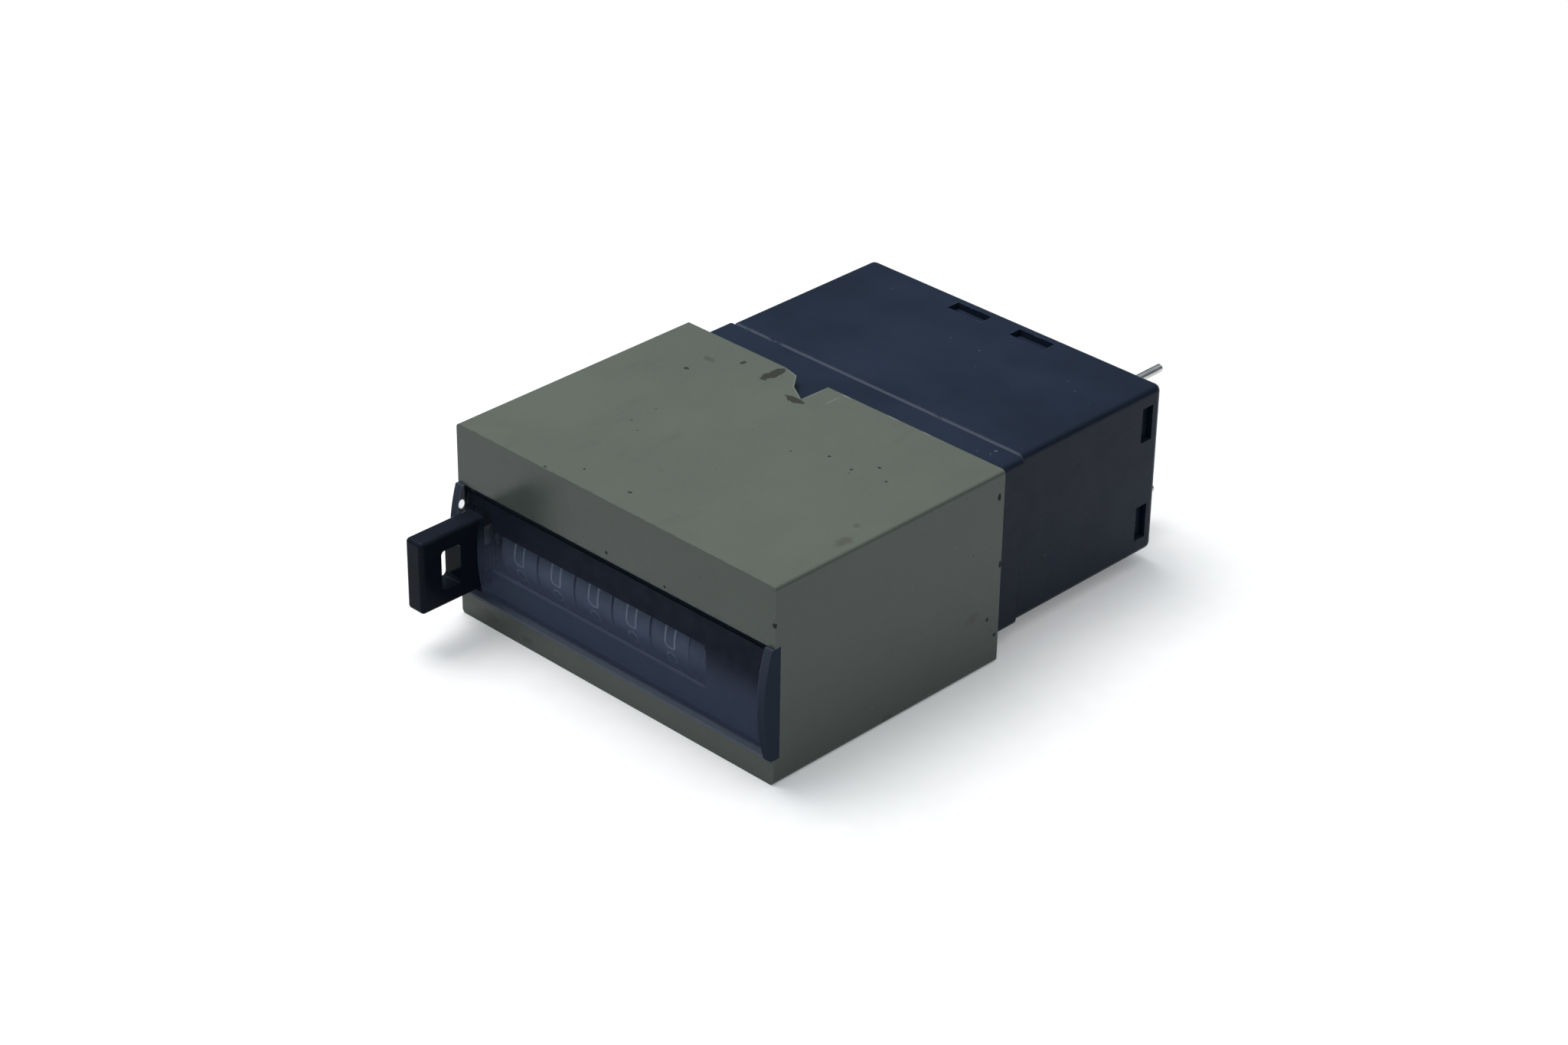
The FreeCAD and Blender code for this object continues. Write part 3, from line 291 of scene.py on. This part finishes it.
# Places of lines and bands, metres.
SEAM = 0.02245                         # depth at which the two cases meet
LENS_END = (0.02285, 0.02305)          # the lens turns nearly opaque between these widths
LENS_DUST_AND_REFLECTION = (0.0135, 0.0088)           # heights between which the lens's haze grows, partly dust and partly a painted reflection of the floor
MASK_PAINTED_LIGHT = (0.0080, 0.0050)           # heights between which the mask's painted light grows, lighter toward the bottom
WINDOW_SILL = 0.00695                  # height of the painted highlight along the bevel below the window
WINDOW_SIDE = 0.01345                  # pale line along the window's right edge
PALE_LINE_FADE = (0.00016, 0.00006)          # fade of those pale lines

# Colours of marks, linear.
SMEAR = (0.085, 0.083, 0.068)
WORN_RIM = (0.045, 0.046, 0.042)
FLECK = (0.04, 0.04, 0.036)
TORN_RIM = (0.26, 0.28, 0.26)
BARE_METAL = (0.022, 0.023, 0.021)
SCUFFED = (0.062, 0.056, 0.042)
SCRATCHED = (0.24, 0.26, 0.24)


def sleeve_paint():
    """Satin grey green paint with rubbed edges, chips, scuffs and scratches."""
    m = Shader("sleeve_paint")
    base = (0.113, 0.128, 0.104)
    cloud = m.clouds(45.0, 4.0, 0.6)
    grain = m.clouds(5200.0, 2.0, 0.6)
    colour = m.mix(cloud, scaled(base, 0.93), scaled(base, 1.06))
    colour = m.paint(colour, scaled(base, 1.14), grain, 0.35)
    smear = m.step(m.noise(260.0, 5.0, 0.65, m.stretch((1.0, 0.35, 1.0))), 0.56, 0.74)
    colour = m.paint(colour, SMEAR, smear, 0.22)
    rim = m.edges(0.00045)
    worn = m.times(rim, m.step(m.noise(900.0, 4.0, 0.7), 0.50, 0.62))
    colour = m.paint(colour, WORN_RIM, worn, 0.55)
    light_rim = m.times(rim, m.step(m.noise(420.0, 3.0, 0.6), 0.45, 0.65))
    colour = m.paint(colour, scaled(base, 1.45), light_rim, 0.22)
    fleck = m.step(m.cells(420.0), 0.085, 0.05)
    colour = m.paint(colour, FLECK, fleck, m.step(m.noise(150.0, 2.0), 0.55, 0.66), 0.75)
    torn = m.spot(*NOTCH, ragged=0.3, grain=600.0, edge=0.2)
    colour = m.paint(colour, TORN_RIM, rim, torn, 0.7)
    chip = m.spots(CHIPS, ragged=0.55, grain=1500.0, edge=0.2)
    colour = m.paint(colour, BARE_METAL, chip, 0.86)
    scuff = m.spots(SCUFFS, ragged=0.6, grain=900.0, edge=0.7)
    colour = m.paint(colour, SCUFFED, scuff, 0.5)
    scratch = m.spots(SCRATCHES, ragged=0.4, grain=2500.0, edge=0.5)
    colour = m.paint(colour, SCRATCHED, scratch, 0.65)
    normal = m.bump(m.noise(1500.0, 2.0, 0.5), 0.00001, 0.5)
    normal = m.bump(worn, 0.00003, 0.6, normal)
    normal = m.bump(m.math("SUBTRACT", scratch, chip), 0.00004, 0.6, normal)
    gloss = m.clouds(320.0, 4.0, start=0.19, end=0.27)
    m.set(
        Base_Color=colour, Normal=normal, Specular_IOR_Level=0.28,
        Roughness=m.most(gloss, m.times(chip, 0.9)),
    )
    return m.material


def case_plastic():
    """Blue black plastic with a painted highlight along the seam, a little dust and a hair."""
    m = Shader("case_plastic")
    base = (0.0148, 0.0222, 0.0405)
    colour = m.mix(m.clouds(60.0), scaled(base, 0.85), scaled(base, 1.2))
    rubbed = m.step(m.noise(700.0, 4.0, 0.7), 0.52, 0.62)
    colour = m.paint(colour, (0.09, 0.10, 0.12), m.edges(0.0004), rubbed, 0.5)
    patchy = m.step(m.noise(120.0), 0.52, 0.66)
    colour = m.paint(colour, (0.12, 0.13, 0.14), m.step(m.cells(650.0), 0.10, 0.05), patchy, 0.6)
    # Painted highlight: a light line along the seam where the cases meet, brighter on the right
    # face.
    seam_highlight = m.near(m.part("Y"), SEAM, 0.00028, 0.00012)
    broken = m.step(m.noise(350.0, 3.0), 0.30, 0.50)
    colour = m.paint(colour, (0.10, 0.115, 0.155), seam_highlight, broken, 0.75)
    highlight_right_face = m.facing((1.0, 0.0, 0.0), 0.6, 0.8)
    colour = m.paint(colour, (0.22, 0.25, 0.32), seam_highlight, highlight_right_face, 0.7)
    hair = m.spot(*HAIR, ragged=0.5, grain=900.0, edge=0.12)
    curl = m.step(m.noise(1800.0, 2.0), 0.52, 0.60)
    colour = m.paint(colour, (0.22, 0.24, 0.27), hair, curl, 0.8)
    m.set(
        Base_Color=colour, Normal=m.bump(m.noise(9000.0, 2.0), 0.000004, 0.5),
        Specular_IOR_Level=0.08, Roughness=m.clouds(400.0, 4.0, start=0.26, end=0.40),
    )
    return m.material


def clear_lens():
    """Clear plastic with a haze toward its lower edge, partly dust and partly a painted reflection
    of the floor that also lightens the shade on the drums behind. Its ends are nearly opaque.
    """
    m = Shader("clear_lens")
    rub = m.step(m.noise(900.0, 5.0, 0.7, m.stretch((0.3, 1.0, 1.0))), 0.64, 0.80)
    ends = m.step(m.math("ABSOLUTE", m.part("X")), *LENS_END)
    # Colour of the lens's haze: partly dust and partly a painted bluish reflection.
    dust_and_reflection_colour = m.mix(rub, (0.225, 0.262, 0.385), (0.34, 0.37, 0.42))
    m.set(
        Base_Color=m.mix(ends, dust_and_reflection_colour, (0.060, 0.072, 0.098)), Specular_IOR_Level=0.0,
        Roughness=m.step(m.noise(350.0, 4.0, 0.6), 0.45, 0.8, 0.22, 0.34),
    )
    clear = m.tree.nodes.new("ShaderNodeBsdfTransparent")
    clear.inputs["Color"].default_value = (0.945, 0.955, 0.975, 1.0)
    glint = m.spot(*GLINT, ragged=0.1, grain=500.0, edge=0.3)
    closed = m.times(ends, m.math("SUBTRACT", 1.0, m.times(glint, 0.8)), 0.98)
    # Haze growing toward the bottom: partly dust, partly a painted reflection of the floor that
    # also lightens the shade on the drums behind.
    dust = m.step(m.part("Z"), *LENS_DUST_AND_REFLECTION, 0.02, 0.225)
    dust = m.math("ADD", dust, m.times(rub, 0.02))
    join = m.tree.nodes.new("ShaderNodeMixShader")
    m.put(join.inputs[0], m.most(dust, closed))
    m.link(clear.outputs[0], join.inputs[1])
    m.link(m.bsdf.outputs[0], join.inputs[2])
    m.link(join.outputs[0], m.out.inputs["Surface"])
    return m.material


def plastic(name, base, rough=(0.35, 0.5), shine=0.4, grain=6000.0, depth=0.000004, dust=0.15):
    """Moulded plastic with fine grain and a few dust specks."""
    m = Shader(name)
    colour = m.mix(m.clouds(220.0), scaled(base, 0.9), scaled(base, 1.12))
    patchy = m.step(m.noise(260.0), 0.5, 0.62)
    colour = m.paint(
        colour, (0.25, 0.26, 0.27), m.step(m.cells(900.0), 0.12, 0.06), patchy, dust,
    )
    m.set(
        Base_Color=colour, Normal=m.bump(m.noise(grain, 2.0), depth, 0.5),
        Specular_IOR_Level=shine, Roughness=m.clouds(600.0, start=rough[0], end=rough[1]),
    )
    return m.material


def metal(name, base, rough, along):
    """Bare metal, brushed along the axis whose stretch is smallest."""
    m = Shader(name)
    colour = m.mix(m.clouds(500.0, 4.0), scaled(base, 0.85), scaled(base, 1.08))
    brushed = m.noise(3000.0, 3.0, 0.6, m.stretch(along))
    m.set(
        Base_Color=colour, Metallic=1.0, Normal=m.bump(brushed, 0.000006, 0.5),
        Roughness=m.clouds(900.0, start=rough[0], end=rough[1]),
    )
    return m.material


def winding():
    """Enamelled copper wire, turn beside turn."""
    m = Shader("copper_winding")
    wave = m.tree.nodes.new("ShaderNodeTexWave")
    wave.bands_direction = "Y"
    wave.inputs["Scale"].default_value = 1600.0
    m.link(m.place, wave.inputs["Vector"])
    turns = wave.outputs["Fac"]
    m.set(
        Base_Color=m.mix(turns, (0.20, 0.055, 0.02), (0.50, 0.19, 0.08)),
        Metallic=0.6, Roughness=0.38, Normal=m.bump(turns, 0.00003, 0.8),
    )
    return m.material


def printed_white():
    """The ink of the digits, greyed by age."""
    m = Shader("printed_white")
    colour = m.mix(m.clouds(1500.0), (0.52, 0.57, 0.62), (0.64, 0.69, 0.74))
    m.set(Base_Color=colour, Roughness=0.5, Normal=m.bump(m.noise(9000.0), 0.000003, 0.4))
    return m.material


def dial_mask():
    """Matt black, lighter below the window by painted light, with a painted highlight along the
    bevel below the window and a pale line at the window's right.
    """
    m = Shader("mask_black")
    colour = m.mix(m.clouds(220.0), (0.0055, 0.0075, 0.015), (0.007, 0.0095, 0.018))
    across, height = m.part("X"), m.part("Z")
    # Painted light: the mask turns lighter toward the bottom below the window.
    colour = m.paint(colour, (0.036, 0.044, 0.062), m.step(height, *MASK_PAINTED_LIGHT), 0.6)
    # Painted highlight along the bevel below the window, and a pale line at the window's right.
    sill_highlight = m.near(height, WINDOW_SILL, *PALE_LINE_FADE)
    sill_highlight = m.times(sill_highlight, m.step(across, 0.0135, 0.0134), 0.55)
    side = m.near(across, WINDOW_SIDE, *PALE_LINE_FADE)
    side = m.times(side, m.step(height, 0.0089, 0.0091), m.step(height, 0.0117, 0.0114), 0.8)
    colour = m.mix(m.most(sill_highlight, side), colour, (0.14, 0.155, 0.19))
    m.set(
        Base_Color=colour, Normal=m.bump(m.noise(3000.0, 2.0), 0.000003, 0.3),
        Specular_IOR_Level=0.10, Roughness=m.clouds(600.0, start=0.55, end=0.7),
    )
    return m.material


looks = {
    "sleeve_paint": sleeve_paint(),
    "clear_lens": clear_lens(),
    "mask_black": dial_mask(),
    "case_plastic": case_plastic(),
    "key_black": plastic(
        "key_black", (0.0118, 0.0150, 0.0232), (0.15, 0.24),
        shine=0.040, grain=4000.0, depth=0.000002, dust=0.1,
    ),
    "drum_plastic": plastic("drum_plastic", (0.232, 0.255, 0.322), (0.4, 0.55), shine=0.2),
    "pinion_plastic": plastic("pinion_plastic", (0.52, 0.48, 0.36), (0.4, 0.55)),
    "frame_plastic": plastic("frame_plastic", (0.165, 0.185, 0.245), (0.4, 0.55), shine=0.2),
    "sheet_steel": metal("sheet_steel", (0.50, 0.51, 0.53), (0.3, 0.45), (1.0, 12.0, 12.0)),
    "bright_steel": metal("bright_steel", (0.62, 0.63, 0.65), (0.18, 0.3), (8.0, 1.0, 1.0)),
    "soft_iron": metal("soft_iron", (0.42, 0.43, 0.45), (0.35, 0.5), (1.0, 1.0, 8.0)),
    "bobbin_plastic": plastic("bobbin_plastic", (0.34, 0.29, 0.18), (0.45, 0.6)),
    "copper_winding": winding(),
    "lead_insulation": plastic("lead_insulation", (0.30, 0.03, 0.025), (0.4, 0.55)),
    "tinned_pin": metal("tinned_pin", (0.58, 0.58, 0.56), (0.22, 0.36), (1.0, 0.2, 1.0)),
}

for part in frame["record"]["subparts"]:
    shape = frame["nodes"][part["node"]]
    look = looks[part["material_slot"]]
    if not shape.material_slots:
        shape.data.materials.append(look)
    for holder in shape.material_slots:
        holder.material = look


def arc(cx, cy, rx, ry, start, end, count):
    """Points on an ellipse from start to end, degrees anticlockwise from +u."""
    angles = [math.radians(start + (end - start) * i / count) for i in range(count + 1)]
    return [(cx + rx * math.cos(angle), cy + ry * math.sin(angle)) for angle in angles]


W = 0.70            # half width of a digit's centre line, mm
H = 1.55            # half height, mm
STROKE = 0.25       # width of a stroke, mm
SHORTEST_RUN = 0.02  # points of a centre line that are closer than this are dropped, mm
LONGEST_RUN = 0.3   # longer runs are parted, so that they follow the drum, mm
PRINT_FOOT = 4e-6   # the ink starts this far above the drum's rim, metres
PRINT_TOP = 22e-6   # and ends here
FIRST_ANGLE = 8.6   # the zero's middle above the level of the shaft, degrees
DIGIT_ANGLE = 36.0  # from one digit to the next, degrees

# Centre lines of the digits, mm: u to the right, v up, and whether the line is closed.
ZERO = (
    arc(W - 0.35, H - 0.35, 0.35, 0.35, 0, 90, 5)
    + arc(-W + 0.35, H - 0.35, 0.35, 0.35, 90, 180, 5)
    + arc(-W + 0.6, -H + 0.6, 0.6, 0.6, 180, 270, 7)
    + arc(W - 0.25, -H + 0.25, 0.25, 0.25, 270, 360, 4)
)
ONE = [(-0.32, H - 0.38), (0.12, H), (0.12, -H)]
TWO = arc(0.0, H - W, W, W, 170, -25, 12) + [(-W, -H), (W, -H)]
THREE = arc(0.0, H - 0.62, 0.62, 0.62, 160, -80, 10) + arc(0.0, -H + 0.72, W, 0.72, 85, -160, 12)
FOUR = [(0.35, -H), (0.35, H), (-W, -0.45), (W, -0.45)]
FIVE = [(0.58, H), (-0.52, H), (-0.62, 0.12)] + arc(-0.02, -H + 0.75, W, 0.82, 120, -155, 14)
SIX = arc(0.0, H - 0.6, W, 0.6, 35, 180, 8) + arc(0.0, -H + 0.72, W, 0.72, 180, 540, 22)
SEVEN = [(-W, H), (W, H), (-0.22, -H)]
EIGHT_TOP = arc(0.0, H - 0.6, 0.58, 0.6, 0, 360, 20)[:-1]
EIGHT_LOW = arc(0.0, -H + 0.74, W, 0.76, 0, 360, 22)[:-1]
NINE = arc(0.0, -H + 0.6, W, 0.6, 215, 360, 8) + arc(0.0, H - 0.72, W, 0.72, 0, 360, 22)
DIGITS = (
    ((ZERO, True),),
    ((ONE, False),),
    ((TWO, False),),
    ((THREE, False),),
    ((FOUR, False),),
    ((FIVE, False),),
    ((SIX, False),),
    ((SEVEN, False),),
    ((EIGHT_TOP, True), (EIGHT_LOW, True)),
    ((NINE, False),),
)


def sides_of(points, closed, half):
    """The left and right line of a stroke about its centre line."""
    left, right = [], []
    count = len(points)
    for i, (u, v) in enumerate(points):
        before = points[i - 1] if closed or i else None
        after = points[(i + 1) % count] if closed or i < count - 1 else None
        runs = []
        for a, b in ((before, (u, v)), ((u, v), after)):
            if a is not None and b is not None:
                length = math.hypot(b[0] - a[0], b[1] - a[1])
                if length > 1e-9:
                    runs.append(((b[0] - a[0]) / length, (b[1] - a[1]) / length))
        du = sum(r[0] for r in runs) / len(runs)
        dv = sum(r[1] for r in runs) / len(runs)
        size = du * du + dv * dv
        reach = half / max(size, 0.3)  # a sharp corner's point is cut back
        left.append((u - dv * reach, v + du * reach))
        right.append((u + dv * reach, v - du * reach))
    return left, right


def thin_out(points):
    """The same line without points that nearly coincide."""
    kept = []
    for p in points:
        if not kept or math.hypot(p[0] - kept[-1][0], p[1] - kept[-1][1]) > SHORTEST_RUN:
            kept.append(p)
    return kept


def evenly(points, closed):
    """The same line with no run longer than LONGEST_RUN."""
    line = []
    count = len(points)
    for i in range(count if closed else count - 1):
        a, b = points[i], points[(i + 1) % count]
        parts = max(1, math.ceil(math.hypot(b[0] - a[0], b[1] - a[1]) / LONGEST_RUN))
        line += [
            (a[0] + (b[0] - a[0]) * k / parts, a[1] + (b[1] - a[1]) * k / parts)
            for k in range(parts)
        ]
    if not closed:
        line.append(points[-1])
    return line


def skin(mesh, rings, closed):
    """Faces between rings of points, with caps on the ends of an open run."""
    pairs = list(zip(rings, rings[1:]))
    if closed:
        pairs.append((rings[-1], rings[0]))
    sides = len(rings[0])
    for a, b in pairs:
        for k in range(sides):
            mesh.faces.new((a[k], a[(k + 1) % sides], b[(k + 1) % sides], b[k]))
    if not closed:
        mesh.faces.new(rings[0])
        mesh.faces.new(list(reversed(rings[-1])))


def placed(name, mesh, look):
    """A new object in the scene with the mesh and the look."""
    bmesh.ops.recalc_face_normals(mesh, faces=mesh.faces)
    data = bpy.data.meshes.new(name)
    mesh.to_mesh(data)
    mesh.free()
    data.materials.append(look)
    piece = bpy.data.objects.new(name, data)
    scene.collection.objects.link(piece)
    return piece


def print_digits(name, node, body, ink):
    """The ten digits as thin closed strokes on a drum's rim."""
    low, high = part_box(node)
    middle = (low[0] + high[0]) / 2.0
    axis_y, axis_z = (low[1] + high[1]) / 2.0, (low[2] + high[2]) / 2.0
    radius = (high[2] - low[2]) / 2.0
    mesh = bmesh.new()
    for value, strokes in enumerate(DIGITS):
        turn = math.radians(FIRST_ANGLE) + math.radians(DIGIT_ANGLE * value)
        for points, closed in strokes:
            line = evenly(thin_out(points), closed)
            rings = []
            for left, right in zip(*sides_of(line, closed, STROKE / 2.0)):
                ring = []
                for (u, v), lift in (
                    (left, PRINT_FOOT), (right, PRINT_FOOT), (right, PRINT_TOP), (left, PRINT_TOP),
                ):
                    angle = turn + v / MM / radius
                    r = radius + lift
                    ring.append(mesh.verts.new((
                        middle + u / MM,
                        axis_y - r * math.cos(angle),
                        axis_z + r * math.sin(angle),
                    )))
                rings.append(ring)
            skin(mesh, rings, closed)
    piece = placed(name, mesh, ink)
    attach(piece, body)


white = printed_white()
for number in range(1, 6):
    drum = f"number_drum_{number}"
    print_digits(f"drum_digits_{number}", drum, drum, white)

SPRING_WIRE = 0.00015   # radius of the reset spring's wire, metres
SPRING_TURNS = 8
STEPS_PER_TURN = 28
WIRE_SIDES = 10


def coil_spring(node, body, look, wire, turns):
    """Round wire wound between the ends of a CAD spring, as a smooth tube in its place."""
    low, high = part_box(node)
    x, z = (low[0] + high[0]) / 2.0, (low[2] + high[2]) / 2.0
    coil = (high[0] - low[0]) / 2.0 - wire
    start, end = low[1] + wire, high[1] - wire
    steps = turns * STEPS_PER_TURN
    mesh = bmesh.new()
    rings = []
    for i in range(steps + 1):
        turn = 2.0 * math.pi * turns * i / steps
        out = Vector((math.cos(turn), 0.0, math.sin(turn)))
        centre = Vector((x, start + (end - start) * i / steps, z)) + out * coil
        ring = []
        for k in range(WIRE_SIDES):
            angle = 2.0 * math.pi * k / WIRE_SIDES
            along = Vector((0.0, wire * math.sin(angle), 0.0))
            ring.append(mesh.verts.new(centre + out * (wire * math.cos(angle)) + along))
        rings.append(ring)
    skin(mesh, rings, closed=False)
    piece = placed(node + "_wire", mesh, looks[look])
    piece.data.shade_smooth()
    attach(piece, body)
    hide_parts(node)
    return piece, (x, high[1], z), end - start + 2.0 * wire


# The reset spring, as round wire in the CAD spring's place, sits just behind the slider.
wire_piece, seat, free_length = coil_spring(
    "reset_spring", "case", "bright_steel", SPRING_WIRE, SPRING_TURNS,
)
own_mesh(wire_piece)


def seen_directly(tree, others=("Is Glossy Ray", "Is Transmission Ray")):
    """1 for rays from the camera and for the other kinds named, and 0 for the rest."""
    path = tree.nodes.new("ShaderNodeLightPath")
    total = path.outputs["Is Camera Ray"]
    for other in others:
        node = tree.nodes.new("ShaderNodeMath")
        node.operation = "MAXIMUM"
        tree.links.new(total, node.inputs[0])
        tree.links.new(path.outputs[other], node.inputs[1])
        total = node.outputs[0]
    return total


# Floor: white where it is seen, darker where it only throws light back at the counter.
FLOOR_REACH = 3.0   # metres from the middle
FLOOR_SEEN = ((0.84, 0.84, 0.84), (0.87, 0.87, 0.87))
FLOOR_DIM = ((0.255, 0.290, 0.325), (0.285, 0.320, 0.355))
FLOOR_GLOW = 0.205  # added where it is seen, so that the shadow is as light as in the photograph
floor_data = bpy.data.meshes.new("floor")
floor_data.from_pydata([
    (-FLOOR_REACH, -FLOOR_REACH, 0.0), (FLOOR_REACH, -FLOOR_REACH, 0.0),
    (FLOOR_REACH, FLOOR_REACH, 0.0), (-FLOOR_REACH, FLOOR_REACH, 0.0),
], [], [(0, 1, 2, 3)])
floor = bpy.data.objects.new("floor", floor_data)
scene.collection.objects.link(floor)
floor_look = Shader("floor_white")
seen = seen_directly(floor_look.tree)
speckle = floor_look.clouds(400.0)
floor_look.set(
    Base_Color=floor_look.mix(
        seen, floor_look.mix(speckle, *FLOOR_DIM), floor_look.mix(speckle, *FLOOR_SEEN),
    ),
    Roughness=0.9, Specular_IOR_Level=0.1,
)
glow = floor_look.tree.nodes.new("ShaderNodeEmission")
glow.inputs["Color"].default_value = (1.0, 1.0, 1.0, 1.0)
floor_look.link(floor_look.math("MULTIPLY", seen, FLOOR_GLOW), glow.inputs["Strength"])
both = floor_look.tree.nodes.new("ShaderNodeAddShader")
floor_look.link(floor_look.bsdf.outputs[0], both.inputs[0])
floor_look.link(glow.outputs[0], both.inputs[1])
floor_look.link(both.outputs[0], floor_look.out.inputs["Surface"])
floor.data.materials.append(floor_look.material)

# Studio: white where it is seen, and for light and reflections dark below and pale above.
SKY = (  # share of the way from straight down to straight up, colour
    (0.0, (0.06, 0.065, 0.07, 1.0)),
    (0.5, (0.140, 0.192, 0.240, 1.0)),
    (0.85, (0.80, 0.81, 0.82, 1.0)),
)
world = bpy.data.worlds.new("studio")
scene.world = world
world.use_nodes = True
tree = world.node_tree
tree.nodes.clear()
towards = tree.nodes.new("ShaderNodeSeparateXYZ")
tree.links.new(tree.nodes.new("ShaderNodeTexCoord").outputs["Generated"], towards.inputs[0])
shade = tree.nodes.new("ShaderNodeValToRGB")
ramp = shade.color_ramp.elements
ramp[1].position = SKY[2][0]
for stop, (position, colour) in zip((ramp[0], ramp.new(SKY[1][0]), ramp[-1]), SKY):
    stop.position = position
    stop.color = colour
tree.links.new(towards.outputs["Z"], shade.inputs[0])
white_for = tree.nodes.new("ShaderNodeMix")
white_for.data_type = "RGBA"
tree.links.new(seen_directly(tree, ("Is Transmission Ray",)), white_for.inputs[0])
tree.links.new(shade.outputs[0], white_for.inputs[6])
white_for.inputs[7].default_value = (1.0, 1.0, 1.0, 1.0)
sky = tree.nodes.new("ShaderNodeBackground")
tree.links.new(white_for.outputs[2], sky.inputs["Color"])
tree.links.new(sky.outputs[0], tree.nodes.new("ShaderNodeOutputWorld").inputs["Surface"])

# One wide soft lamp above the counter, a little to its left.
LAMP_PLACE = (-0.20, -0.03, 0.565)
LAMP_AIM = (0.0, 0.02, 0.0)
LAMP_SIZE = 0.46    # metres across
LAMP_POWER = 2.6    # watts
lamp_data = bpy.data.lights.new("top_light", "AREA")
lamp_data.shape = "DISK"
lamp_data.size = LAMP_SIZE
lamp_data.energy = LAMP_POWER
lamp = bpy.data.objects.new("top_light", lamp_data)
way = Vector(LAMP_AIM) - Vector(LAMP_PLACE)
turned = way.to_track_quat("-Z", "Y").to_matrix().to_4x4()
lamp.matrix_world = Matrix.Translation(LAMP_PLACE) @ turned
scene.collection.objects.link(lamp)
lamp.visible_camera = False
